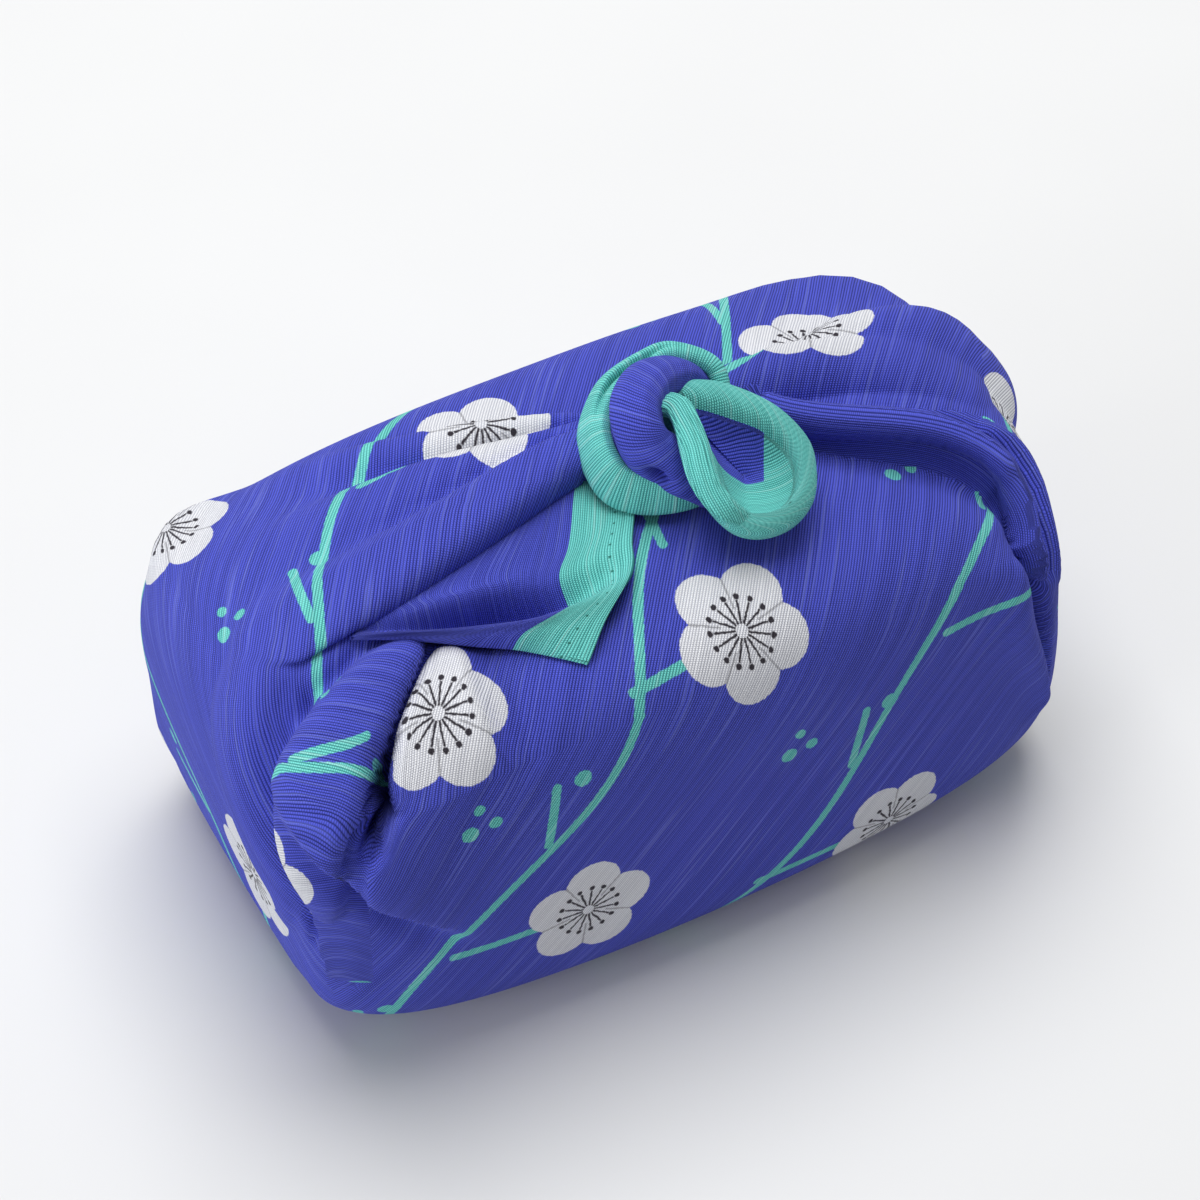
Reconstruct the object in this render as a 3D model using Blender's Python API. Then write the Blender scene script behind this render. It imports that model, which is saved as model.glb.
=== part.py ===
"""A box-shaped bundle wrapped in one square cotton cloth (furoshiki), about 199 x 107 x 114 mm.

The front and back corners of the square lie folded over the contents. The left and the right corner
come up over the ends, run along the top as gathered rolls and are tied in one knot, whose free tip
stands open as a small ear. It is one filled solid: body, rolls, pleats, flap, knot and ear together.

Places on the cloth are given on its flat plan, seen from above: on the top the plan is the top
itself, and past the top's edge it runs on outward, down the sides.
"""
import bpy
import numpy as np

# Driving dimensions, in metres
HALF_LENGTH = 0.0915       # contents and cloth, along X
FRONT_DEPTH = 0.0525       # from the middle line to the front, at the ends
BACK_DEPTH = 0.0480        # from the middle line to the back
HEIGHT = 0.0910            # to the top of the body, without rolls and knot
FRONT_BELLY = 0.0065       # the front swells by this much half way along
END_BELLY = 0.0035         # the ends swell by this much
CORNER_DROP = 0.0125       # the four top corners slope down
CORNER_LIFT = 0.0040       # the four bottom corners lift off the surface
KNOT_PLACE = (0.010, -0.002)
MIDDLE = (0.0029, -0.0055)    # middle of the bundle's box as modelled, put on the origin

PLAN_POWER = 8.0           # squareness of the plan
SIDE_POWER = 5.0           # roundness of the long edges, seen from the end
WIDEST_AT = 0.42           # share of the height with the greatest girth
SOLE_CUT = 0.0012          # shaved off below for a flat sole
SECTION_HALF = 0.055       # half depth that measures the way round the section
MM = 0.001

# Grid of the body: rows up the section and columns round the plan, closer where the pleats are
ROWS = ((0.0, 0.30, 4), (0.30, 0.58, 11), (0.58, 0.84, 20), (0.84, 1.0, 16))
COLUMNS = (
    (0.0, 0.05, 7), (0.05, 0.30, 8), (0.30, 0.42, 5), (0.42, 0.52, 18), (0.52, 0.64, 26), (0.64, 0.87, 9),
    (0.87, 1.0, 20),
)
NARROWEST = 4.5            # the solid's grid can't hold a narrower side of a fold, mm
LEAN_SHARE = 0.35          # how much of each fold's overhang the solid takes up

# Pleats, in mm on the flat plan; where they meet, the higher one shows:
# way of the crest, rise at start, middle and end, width left and right of it at start and end,
# and lean of the crest to the right
PLEATS = (
    ("back pleat", ((-54, 36), (-34, 26.6), (-15, 18.6), (2, 10.6)),
     (0.5, 5.2, 6.5), (5, 2.0), (8, 4), 0.0),
    ("middle pleat", ((-66, 18), (-40, 16), (-20, 12), (2, 8)),
     (0.5, 6.2, 7.2), (6, 2.2), (18, 4), 0.0),
    ("small pleat", ((-26, 8.0), (-18, 8.2), (-8, 7.8), (2, 6.2)),
     (0.3, 5.8, 7.6), (2.0, 1.5), (4, 3), 0.0),
    ("front roll", ((-76, -3.5), (-48, -5.6), (-24, -1.4), (-2, 3.0)),
     (1.5, 8.4, 8.4), (7, 2.0), (12.5, 8), 3.0),
    ("left end swell", ((-80, -8), (-94, -15), (-108, -23), (-126, -36)),
     (2.0, 3.0, 1.5), (8, 9), (10, 14), 0.0),
    ("corner roll", ((-90, -57), (-86, -49.5), (-75, -40.5), (-57, -25.5)),
     (3.5, 6.2, 4.5), (24, 19), (5, 2.4), 2.5),
    ("lip of the slit", ((-52, -31.5), (-62, -39.8), (-71.5, -48), (-80, -60)),
     (1.5, 4.0, 1.5), (14, 18), (2.6, 2.4), 1.0),
    ("right roll", ((36, -3.5), (54, -17.5), (75, -31.5), (81, -60)),
     (6.8, 7.0, 3.2), (3.5, 7), (3.0, 3.4), 1.5),
    ("upper pleat", ((24, 7.5), (42, 8.5), (60, 5.5), (84, -4)),
     (6.5, 6.5, 2.0), (3, 5), (9, 13), 0.0),
    ("third pleat", ((50, 12), (66, 11.2), (82, 8.5), (102, 4)),
     (3.0, 5.2, 6.8), (3.0, 15), (5, 16), 0.0),
)
CREASE_SOFT = 1.3          # mm over which two pleats blend where they meet

# Hollows and swells that are added on top: way, rise at start, middle and end, width left and right
HOLLOWS = (
    ("under the roll", ((-82, -19), (-56, -16.5), (-32, -12.5), (-8, -8.5)), (-1.5, -2.5, -2.0), 2.5, 3.5),
    ("slit", ((-55, -28), (-63.5, -35.5), (-74, -44), (-85, -55)), (-6.0, -10.0, -6.0), 2.2, 2.2),
    ("beside it", ((-77, -21), (-93, -28.5), (-108, -37), (-125, -60)), (-1.0, -3.0, -2.5), 2.2, 5.0),
    ("lap", ((-93.5, -35), (-91, -55), (-82, -73.5), (-66, -91)), (1.5, 5.0, 1.2), 18.0, 1.6),
    ("below the lap", ((-97, -37), (-94.5, -57), (-84.5, -77), (-68, -94)), (-0.8, -2.4, -0.6), 1.2, 5.0),
    ("dent ridge", ((-48, -29), (-50.5, -38), (-52, -45), (-55, -54)), (1.6, 2.2, 0.2), 1.6, 5.0),
    ("dent", ((-44, -33), (-46.5, -41), (-49, -48), (-53, -57)), (-1.0, -2.0, 0.0), 3.2, 2.6),
    ("under it", ((40, -10.5), (56, -21.5), (69, -30), (77, -44)), (-1.5, -4.0, -3.0), 3.2, 3.5),
    ("end valley", ((78, -42), (79, -54), (81, -68), (102, -92)), (-3.0, -6.0, -5.0), 3.4, 3.2),
    ("end crease", ((66, -26), (80, -33), (86, -45), (87, -62)), (-0.3, -1.8, -1.2), 2.0, 2.0),
    ("near right ridge", ((74, -45), (73, -58), (75, -74), (98, -98)), (2.0, 2.5, 2.5), 5.0, 7.0),
    ("back dent", ((56, 15), (61, 21), (65, 29), (69, 40)), (-1.0, -1.6, -0.5), 4.5, 4.5),
    ("back right corner", ((56, 46), (78, 38), (92, 20)), (0.5, 2.8, 1.5), 9.0, 9.0),
    ("back left corner", ((-66, 52), (-82, 46), (-90, 34)), (1.0, 4.0, 1.0), 5.0, 6.0),
    ("left end, low", ((-150, 34), (-152, 0), (-150, -34)), (-3.0, -3.5, -2.0), 22.0, 24.0),
    ("right end swell", ((104, 12), (109, 0), (109, -12), (105, -22)), (0.5, 3.4, 0.3), 11.0, 14.0),
    ("right of the near corner", ((96, -38), (101, -50), (110, -64)), (-0.5, -2.6, -1.5), 8.0, 8.0),
    ("right end, low", ((134, 20), (136, -10), (134, -40)), (-2.0, -3.0, -2.0), 16.0, 24.0),
)

# The flap of the front corner, in mm on the flat plan, a row for each station from left to right:
# x, y and rise of five points across
FLAP = (
    # lower edge,          crest,                dip,                  flat,                hidden end
    ((-60.5, -19, 0.8), (-60, -18.6, 2.4), (-58, -16.0, 0.6), (-57, -11, 1.5), (-57, -7, 2.0)),
    ((-54.7, -23, 1.2), (-54.3, -22.1, 3.8), (-52.3, -18.8, -0.4), (-49, -13.5, 1.8), (-45, -5, 2.0)),
    ((-46.5, -28.5, 1.3), (-46.0, -26.8, 4.8), (-44, -22.6, -1.2), (-41, -16.2, 1.8), (-32, -4, 2.0)),
    ((-38, -33.7, 1.3), (-37, -31.0, 5.2), (-34.5, -26.2, -1.0), (-30.5, -19.8, 1.8), (-19, -3, 2.0)),
    ((-32.5, -37.5, 1.2), (-28, -33, 5.2), (-24.5, -27.8, 0.2), (-19.5, -20.3, 1.8), (-9, -2, 2.0)),
    ((-27.8, -40.6, 1.0), (-14.5, -33.8, 4.2), (-7.8, -25.7, 3.0), (-3.8, -19.3, 2.2), (4.5, -5.5, 1.8)),
)
FLAP_GRID = (16, 12)
FLAP_SUNK = 0.0065         # its underside lies this deep in the body

# Straps of the knot, in mm: x, y, z on the middle line, width and thickness
BAND = (
    (27, -3, 100, 6, 4.0), (27.5, 3, 105, 7, 4.5), (21, 8.5, 107, 8, 5.5), (15, 9.0, 106.5, 8.5, 6.0),
    (7, 8, 105, 9, 5.8), (1.5, 4.5, 103, 9.5, 5.2), (-2, 0, 101.5, 9.8, 4.6), (-3.2, -6.4, 99.9, 9.5, 4.4),
    (-1.4, -11.4, 98.3, 9, 4.4), (3.2, -15.4, 97.2, 8.2, 4.2), (9.4, -18.6, 96.2, 6.5, 4.0),
    (16, -19, 95.2, 5, 3.5),
)
BAND_AXIS = (11, -7, 92)
TURN = (
    (23, 4, 102, 10, 6.0), (18, 3, 107, 12, 7.5), (12, 0.5, 109.3, 13, 8.5), (7, -4, 109.6, 13, 9.0),
    (4.8, -8.5, 108.2, 12.5, 9.0), (4.6, -12.4, 105, 11.5, 8.5), (6.8, -15, 100.5, 10, 7.0),
    (9.5, -16, 96, 8, 6.0),
)
TURN_AXIS = (10, -8, 88)
STRAND = (
    (10, -3, 105, 4, 3.0), (12.0, -4.5, 109, 4.3, 3.5), (12.8, -8.5, 110.2, 4.8, 4.0),
    (12.3, -13.5, 109.4, 5.4, 4.2), (10.8, -19, 108.2, 5.9, 4.4), (9.4, -24, 106.8, 5.8, 4.4),
    (9.2, -28.5, 105, 5.4, 4.2), (10.4, -33, 103.2, 5, 4.0), (14, -36, 100.5, 4, 3.5),
)
STRAND_AXIS = (18, -18, 90)
KNOT_CORE = ((12.3, -7.6, 94.2), (15.6, 15.2, 11.2))       # middle and half sizes, mm

# Ear, in mm: x, y, z of its rim's crest and the width of the rolled rim, counter-clockwise
EAR = (
    (13.5, -6, 106.5, 4.0), (13.5, -10.5, 107, 4.5), (13, -18, 106, 5), (11.5, -24, 105, 5),
    (11.3, -29, 103.5, 4.5), (13, -33.5, 102, 4.2), (17, -36, 101.2, 4.0), (22.5, -36.6, 101.5, 3.8),
    (28, -34, 102.5, 3.8), (31.6, -28.5, 104, 4.0), (33, -22.5, 105, 5.0), (31, -15.5, 107, 6.2),
    (27, -10, 108.5, 7.2), (22, -4.5, 109, 7.0), (16.5, -1.8, 108.5, 5.5),
)
EAR_MIDDLE = (22, -20.5, 96)
EAR_FLOOR = 3.5            # cloth below the ear's hollow, mm
# Section of the rim: share of its width outward, and drop in mm, from inside over the crest to below
EAR_RIM = ((-0.62, -3.6), (-0.38, -1.0), (0.0, 0.0), (0.42, -1.6), (0.50, -4.6), (0.30, -7.2), (0.0, -8.4))


# Outlines

def smooth(start, end, value):
    """Rise from 0 to 1 between start and end, level at both."""
    t = np.clip((value - start) / (end - start), 0.0, 1.0)
    return t * t * (3.0 - 2.0 * t)


def rounded(angle, power):
    """A rounded square of the given power: cosine and sine, each swollen."""
    c, s = np.cos(angle), np.sin(angle)
    return np.sign(c) * np.abs(c) ** (2.0 / power), np.sign(s) * np.abs(s) ** (2.0 / power)


def share_of_way(x, y):
    """Share of the line's length reached at each of its points."""
    way = np.concatenate([[0.0], np.cumsum(np.hypot(np.diff(x), np.diff(y)))])
    return way / way[-1], way[-1]


PLAN_ANGLE = np.linspace(0.0, 2.0 * np.pi, 2001)
PLAN_X, PLAN_Y = rounded(PLAN_ANGLE, PLAN_POWER)
PLAN_SHARE = share_of_way(PLAN_X * HALF_LENGTH, PLAN_Y * FRONT_DEPTH)[0]

SECTION_ANGLE = np.linspace(-np.pi / 2.0, np.pi / 2.0, 1201)
SECTION_R, SECTION_Q = rounded(SECTION_ANGLE, SIDE_POWER)
SECTION_Z = np.where(SECTION_Q < 0, WIDEST_AT * (1 + SECTION_Q), WIDEST_AT + (1 - WIDEST_AT) * SECTION_Q)
SECTION_SHARE, SECTION_WAY = share_of_way(SECTION_R * SECTION_HALF, SECTION_Z * HEIGHT)
PLAN_REACH = (1.0 - SECTION_SHARE) * SECTION_WAY / SECTION_HALF


# The body

def body(w, v):
    """Point of the plain body: w goes round the plan, v from the sole's middle up to the top's.

    The plan is a rounded rectangle that shrinks to a point under the knot above and to the middle
    of the sole below; the top corners slope down and the bottom corners lift.
    """
    ux = np.interp(w % 1.0, PLAN_SHARE, PLAN_X)
    uy = np.interp(w % 1.0, PLAN_SHARE, PLAN_Y)
    r = np.interp(v, SECTION_SHARE, SECTION_R)
    z = np.interp(v, SECTION_SHARE, SECTION_Z) * (HEIGHT + SOLE_CUT) - SOLE_CUT
    near_top = smooth(0.3 * HEIGHT, HEIGHT, z) * (1.0 - r)
    depth = np.where(uy < 0, FRONT_DEPTH + FRONT_BELLY * (1.0 - ux ** 2), BACK_DEPTH)
    x = (HALF_LENGTH + END_BELLY * (1.0 - uy ** 2)) * ux * r + KNOT_PLACE[0] * near_top
    y = depth * uy * r + KNOT_PLACE[1] * near_top
    corner = np.abs(ux * uy) ** 3
    z = z + CORNER_LIFT * corner * smooth(0.45 * HEIGHT, 0.0, z) * r ** 4
    z = z - CORNER_DROP * corner * smooth(0.35 * HEIGHT, HEIGHT, z) * r ** 2
    return np.stack([x, y, np.maximum(z, 0.0)], -1)


def flat_plan(w, v):
    """Place of the same point on the flat plan: across the top, then outward down the sides."""
    ux = np.interp(w % 1.0, PLAN_SHARE, PLAN_X)
    uy = np.interp(w % 1.0, PLAN_SHARE, PLAN_Y)
    reach = np.interp(v, SECTION_SHARE, PLAN_REACH)
    share = np.minimum(reach, 1.0)
    down = np.maximum(reach - 1.0, 0.0) * SECTION_HALF
    nx = np.sign(ux) * np.abs(ux) ** (PLAN_POWER - 1.0) / HALF_LENGTH
    ny = np.sign(uy) * np.abs(uy) ** (PLAN_POWER - 1.0) / FRONT_DEPTH
    size = np.hypot(nx, ny)
    depth = np.where(uy < 0, FRONT_DEPTH, BACK_DEPTH)
    x = HALF_LENGTH * ux * share + nx / size * down + KNOT_PLACE[0] * (1.0 - share)
    y = depth * uy * share + ny / size * down + KNOT_PLACE[1] * (1.0 - share)
    return x, y


def on_top(x, y):
    """The (w, v) of a place on the top: the share of the plan is halved down until it fits."""
    low = np.full(x.shape, 1e-4)
    high = np.full(x.shape, 1.2)
    for _ in range(40):
        share = (low + high) / 2.0
        dx = x - KNOT_PLACE[0] * (1.0 - share)
        dy = y - KNOT_PLACE[1] * (1.0 - share)
        depth = np.where(dy < 0, FRONT_DEPTH, BACK_DEPTH)
        outside = (dx / HALF_LENGTH) ** PLAN_POWER + (dy / depth) ** PLAN_POWER > share ** PLAN_POWER
        low = np.where(outside, share, low)
        high = np.where(outside, high, share)
    angle = np.unwrap(np.arctan2(PLAN_Y, PLAN_X))
    w = np.interp(np.arctan2(dy / depth, dx / HALF_LENGTH) % (2.0 * np.pi), angle, PLAN_SHARE)
    return w, np.interp(share, PLAN_REACH[::-1], SECTION_SHARE[::-1])


def slopes(w, v, step=1e-3):
    """How the body's point moves with w and with v, and its outward direction."""
    up, down = np.minimum(v + step, 0.9995), np.maximum(v - step, 0.0005)
    along_w = body(w + step, v) - body(w - step, v)
    along_v = body(w, up) - body(w, down)
    outward = np.cross(along_w, along_v)
    outward /= np.maximum(np.linalg.norm(outward, axis=-1, keepdims=True), 1e-15)
    return along_w, along_v, outward


# The folds

def way_through(points, count):
    """Smooth line through a few points, by the one polynomial that meets them all."""
    points = np.array(points, float)
    at = np.linspace(0.0, 1.0, len(points))
    u = np.linspace(0.0, 1.0, count)
    line = np.zeros((count, 2))
    for i, point in enumerate(points):
        weight = np.ones(count)
        for j in range(len(points)):
            if j != i:
                weight *= (u - at[j]) / (at[i] - at[j])
        line += weight[:, None] * point
    return u, line


def beside(way, x, y):
    """Distance to the nearest stretch of the way, how far that lies on its left (1 left, -1 right,
    between them round the ends), share of the way reached, and the direction of its right-hand side."""
    u, line = way_through(way, 25)
    nearest = np.full(x.shape, 1e9)
    turn, share, right_x, right_y = np.ones(x.shape), np.zeros(x.shape), np.zeros(x.shape), np.zeros(x.shape)
    for a, b, ua, ub in zip(line[:-1], line[1:], u[:-1], u[1:]):
        d = b - a
        length = np.hypot(*d)
        t = np.clip(((x - a[0]) * d[0] + (y - a[1]) * d[1]) / length ** 2, 0.0, 1.0)
        off_x, off_y = x - a[0] - t * d[0], y - a[1] - t * d[1]
        off = np.hypot(off_x, off_y)
        closer = off < nearest
        nearest = np.where(closer, off, nearest)
        turn = np.where(closer, (d[0] * off_y - d[1] * off_x) / (length * np.maximum(off, 1e-9)), turn)
        share = np.where(closer, ua + (ub - ua) * t, share)
        right_x = np.where(closer, d[1] / length, right_x)
        right_y = np.where(closer, -d[0] / length, right_y)
    return nearest, turn, share, right_x, right_y


def height_along(share, first, middle, last):
    """Parabola through the rise at the start, the middle and the end of a way."""
    rest = 1 - share
    return first * rest * (1 - 2 * share) + middle * 4 * share * rest + last * share * (2 * share - 1)


def fold_shift(x, y):
    """Rise and lean of all folds at a place of the flat plan, in mm. A pleat is its height times 1 less
    the square of distance over width; pleats meet in the logarithm of the sum of their exponentials,
    which is nearly the highest of them. Hollows are bell-shaped, as deep as the grid can hold."""
    total, lean_x, lean_y = np.zeros(x.shape), np.zeros(x.shape), np.zeros(x.shape)
    for _, way, rises, left, right, lean in PLEATS:
        off, turn, s, right_x, right_y = beside(way, x, y)
        to_left = smooth(-1.0, 1.0, turn)
        width_left, width_right = left[0] + (left[1] - left[0]) * s, right[0] + (right[1] - right[0]) * s
        t = off / np.maximum(width_right + (width_left - width_right) * to_left, NARROWEST)
        hump = np.maximum(1.0 - t ** 2, 0.0)
        part = np.exp(height_along(s, *rises) * hump / CREASE_SOFT) - 1.0
        total += part
        bend = part * lean * np.sqrt(hump) * t * np.clip(-turn, 0.0, 1.0)
        lean_x += bend * right_x
        lean_y += bend * right_y
    rise = np.log1p(total) * CREASE_SOFT
    lean_x, lean_y = lean_x / (1.0 + total), lean_y / (1.0 + total)
    for _, way, rises, left, right in HOLLOWS:
        off, turn, s, _, _ = beside(way, x, y)
        width = right + (left - right) * smooth(-1.0, 1.0, turn)
        widened = np.maximum(width, NARROWEST)
        rise += height_along(s, *rises) * width / widened * np.exp(-(off / widened) ** 2)
    return rise, lean_x, lean_y


def wrapped(w, v):
    """Point of the wrapped body: the plain body raised along its outward direction by the folds."""
    along_w, along_v, outward = slopes(w, v)
    step = 1e-3
    up, down = np.minimum(v + step, 0.9995), np.maximum(v - step, 0.0005)
    xw, yw = [a - b for a, b in zip(flat_plan(w + step, v), flat_plan(w - step, v))]
    xv, yv = [a - b for a, b in zip(flat_plan(w, up), flat_plan(w, down))]
    det = xw * yv - xv * yw
    det = np.where(np.abs(det) < 1e-12, 1e-12, det)[..., None]
    plan_x = (along_w * yv[..., None] - along_v * yw[..., None]) / det
    plan_y = (along_v * xw[..., None] - along_w * xv[..., None]) / det
    x, y = flat_plan(w, v)
    rise, lean_x, lean_y = [value[..., None] * MM for value in fold_shift(x / MM, y / MM)]
    plain = body(w, v)
    off_the_sole = smooth(0.0, 0.012, plain[..., 2])[..., None]
    leaning = LEAN_SHARE * (plan_x * lean_x + plan_y * lean_y)
    return plain + (outward * rise + leaning) * off_the_sole


# Meshes

def mesh_object(name, points, faces):
    """Object from points in metres, moved so that the bundle's middle is on the origin."""
    mesh = bpy.data.meshes.new(name)
    mesh.from_pydata((points - np.array([*MIDDLE, 0.0])).tolist(), [], faces)
    mesh.update()
    thing = bpy.data.objects.new(name, mesh)
    bpy.context.scene.collection.objects.link(thing)
    return thing


def spread(stations):
    """Values from start to end in steps, each stretch with its own count."""
    parts = [np.linspace(start, end, count + 1)[:-1] for start, end, count in stations]
    return np.concatenate(parts)


def ring_faces(rows, columns):
    """Faces between rows of a grid whose columns close round."""
    faces = []
    for i in range(rows - 1):
        for j in range(columns):
            k = (j + 1) % columns
            faces.append((i * columns + j, i * columns + k, (i + 1) * columns + k, (i + 1) * columns + j))
    return faces


def capped(rows):
    """Closed mesh of rows of points round a tube, each end drawn to its middle."""
    count, columns = rows.shape[:2]
    faces = ring_faces(count, columns)
    points = np.concatenate([rows.reshape(-1, 3), [rows[0].mean(0)], [rows[-1].mean(0)]])
    first, last = count * columns, count * columns + 1
    for j in range(columns):
        k = (j + 1) % columns
        faces.append((first, k, j))
        faces.append((last, (count - 1) * columns + j, (count - 1) * columns + k))
    return points, faces


def slab(top, low):
    """Closed mesh between two grids of points that match."""
    count, columns = top.shape[:2]
    half = count * columns
    faces = []
    for i in range(count - 1):
        for j in range(columns - 1):
            k = i * columns + j
            quad = (k, k + columns, k + columns + 1, k + 1)
            faces.append(quad)
            faces.append(tuple(half + corner for corner in quad[::-1]))
    rim = list(range(columns)) + [i * columns + columns - 1 for i in range(1, count)]
    rim += [half - 2 - j for j in range(columns - 1)] + [i * columns for i in range(count - 2, 0, -1)]
    for a, b in zip(rim, rim[1:] + rim[:1]):
        faces.append((a, b, half + b, half + a))
    return np.concatenate([top.reshape(-1, 3), low.reshape(-1, 3)]), faces


def through(rows, count, closed=False):
    """Even samples of a smooth line through the rows, by cubic stretches between neighbours."""
    p = np.array(rows, float)
    m = len(p)
    if closed:
        q = np.concatenate([p[-1:], p, p[:2]])
        u = np.arange(count) / count * m
        last = m - 1
    else:
        q = np.concatenate([[2 * p[0] - p[1]], p, [2 * p[-1] - p[-2]]])
        u = np.linspace(0, m - 1, count)
        last = m - 2
    k = np.minimum(u.astype(int), last)
    t = (u - k)[:, None]
    a, b, c, d = q[k], q[k + 1], q[k + 2], q[k + 3]
    bend, twist = 2 * a - 5 * b + 4 * c - d, 3 * b - a - 3 * c + d
    return 0.5 * (2 * b + (c - a) * t + bend * t ** 2 + twist * t ** 3)


# Pieces

def make_body():
    """The wrapped body, rows from the sole's middle to the point under the knot."""
    w, v = np.meshgrid(spread(COLUMNS), spread(ROWS)[1:])
    points, faces = capped(wrapped(w, v))
    return mesh_object("wrapped_bundle", points, faces)


def make_flap():
    """The front corner's flap as a slab, its underside sunk in the body."""
    along, across = FLAP_GRID
    lines = [through([station[k] for station in FLAP], along) for k in range(5)]
    grid = np.stack([through([line[i] for line in lines], across) for i in range(along)])
    w, v = on_top(grid[..., 0] * MM, grid[..., 1] * MM)
    outward = slopes(w, v)[2]
    top = body(w, v) + outward * grid[..., 2:3] * MM
    low = body(w, v) - outward * FLAP_SUNK
    return mesh_object("flap", *slab(top, low))


def make_strap(name, rows, axis, count, sides):
    """A flat strap along its middle line, its face turned away from the axis point."""
    line = through(rows, count)
    middle, half_width, half_thick = line[:, :3], line[:, 3:4] / 2, line[:, 4:5] / 2
    ahead = np.gradient(middle, axis=0)
    ahead /= np.linalg.norm(ahead, axis=1, keepdims=True)
    face = middle - np.array(axis, float)
    face -= ahead * (face * ahead).sum(1, keepdims=True)
    face /= np.linalg.norm(face, axis=1, keepdims=True)
    side = np.cross(ahead, face)
    c, s = rounded(np.arange(sides) * 2.0 * np.pi / sides, 2.6)
    wide = side[:, None] * c[None, :, None] * half_width[:, None]
    thick = face[:, None] * s[None, :, None] * half_thick[:, None]
    return mesh_object(name, *capped((middle[:, None] + wide + thick)[:, ::-1] * MM))


def make_ear(count=30):
    """The ear: a rolled rim round a hollow, the rim's section set across its line all the way."""
    line = through(EAR, count, closed=True)
    crest, width = line[:, :3], line[:, 3:4]
    middle = np.array(EAR_MIDDLE, float)
    ahead = np.roll(crest, -1, 0) - np.roll(crest, 1, 0)
    outward = np.stack([-ahead[:, 1], ahead[:, 0], 0.0 * ahead[:, 0]], -1)
    outward /= np.linalg.norm(outward, axis=1, keepdims=True)
    outward *= np.sign(((crest - middle)[:, :2] * outward[:, :2]).sum(1))[:, None]
    up = np.array([0.0, 0.0, 1.0])
    below = middle - up * EAR_FLOOR
    rim = [crest + outward * width * out + up * drop * (0.45 + 0.55 * width / 7.0) for out, drop in EAR_RIM]
    inside = rim[0] * 0.5 + middle * 0.5
    under = rim[-1] * 0.5 + below * 0.5
    rings = np.stack([inside] + rim + [under])
    return mesh_object("ear", *capped(rings[:, ::-1] * MM))


def make_core(columns=22, rows=8):
    """The cloth inside the knot, an oval."""
    middle, half = [np.array(value, float) for value in KNOT_CORE]
    a = np.arange(columns) * 2.0 * np.pi / columns
    b = np.linspace(-np.pi / 2.0, np.pi / 2.0, rows + 2)[1:-1, None]
    unit = np.stack([np.cos(b) * np.cos(a), np.cos(b) * np.sin(a), np.sin(b) + 0.0 * a], -1)
    return mesh_object("knot_core", *capped((middle + half * unit) * MM))


def cloth_material():
    """Indigo-violet cotton."""
    material = bpy.data.materials.new("indigo cotton")
    material.use_nodes = True
    shader = material.node_tree.nodes["Principled BSDF"]
    shader.inputs["Base Color"].default_value = (0.075, 0.062, 0.44, 1.0)
    shader.inputs["Roughness"].default_value = 0.85
    shader.inputs["Metallic"].default_value = 0.0
    return material


def join(bundle, piece):
    """Unite a piece with the bundle; the piece itself is kept out of the model."""
    piece.hide_render = True
    piece.display_type = "WIRE"
    union = bundle.modifiers.new("with " + piece.name, "BOOLEAN")
    union.operation = "UNION"
    union.solver = "EXACT"
    union.object = piece


for thing in list(bpy.data.objects):
    bpy.data.objects.remove(thing)

bundle = make_body()
for piece in (make_flap(), make_core(), make_strap("band", BAND, BAND_AXIS, 24, 10),
              make_strap("turn", TURN, TURN_AXIS, 16, 12), make_strap("strand", STRAND, STRAND_AXIS, 18, 8),
              make_ear()):
    join(bundle, piece)
bundle.data.materials.append(cloth_material())
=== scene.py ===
import bpy
import numpy as np
from mathutils import Matrix, Vector


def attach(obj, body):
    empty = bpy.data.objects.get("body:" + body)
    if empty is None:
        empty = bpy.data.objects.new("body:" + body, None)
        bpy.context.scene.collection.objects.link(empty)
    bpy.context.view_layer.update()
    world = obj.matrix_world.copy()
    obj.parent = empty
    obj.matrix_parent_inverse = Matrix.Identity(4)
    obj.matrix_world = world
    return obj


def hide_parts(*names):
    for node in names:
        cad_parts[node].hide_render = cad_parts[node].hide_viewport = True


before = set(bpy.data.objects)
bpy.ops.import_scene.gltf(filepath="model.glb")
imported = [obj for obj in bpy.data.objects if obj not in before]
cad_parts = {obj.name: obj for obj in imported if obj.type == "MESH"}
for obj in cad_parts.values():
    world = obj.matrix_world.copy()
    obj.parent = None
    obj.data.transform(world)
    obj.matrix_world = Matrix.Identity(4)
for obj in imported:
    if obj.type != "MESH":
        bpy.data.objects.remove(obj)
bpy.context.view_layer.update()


# The table top, the light and the camera.
# A matt pale board, far wider than the bundle. A broad soft light hangs above it, a little behind; a
# pale wall far to the left throws light back, and the pale room fills the shadows.

BOARD_HALF, BOARD_DROP = 2.5, 0.0003
BOARD_DEEP, BOARD_PALE = (0.70, 0.705, 0.71, 1), (0.74, 0.745, 0.75, 1)
ROOM_COLOUR, ROOM_STRENGTH = (0.97, 0.98, 1.0, 1), 0.36

# Lights: place, aim, size, power and colour
LIGHTS = (
    ("skylight", (0.14, 0.42, 1.42), (0, 0, 0.03), 1.2, 22.5, (1.0, 0.995, 0.98)),
    ("pale wall", (-2.20, -0.10, 0.40), (0, 0, 0.04), 1.0, 27.0, (0.97, 0.98, 1.0)),
)

# Camera: degrees round from the front and up, way off its aim, and its lens in frame widths
VIEW_ROUND, VIEW_UP, VIEW_AWAY, VIEW_AIM = -28.8, 47.0, 0.8231, (0.0038, 0.0186, 0.0357)
FILM_WIDTH, LENS_WIDTHS = 36.0, 3737.7 / 1200


def put(socket, value):
    """Give a node's socket a value, or join it to another node's output."""
    if isinstance(value, bpy.types.NodeSocket):
        socket.id_data.links.new(value, socket)
    else:
        socket.default_value = value


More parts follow.
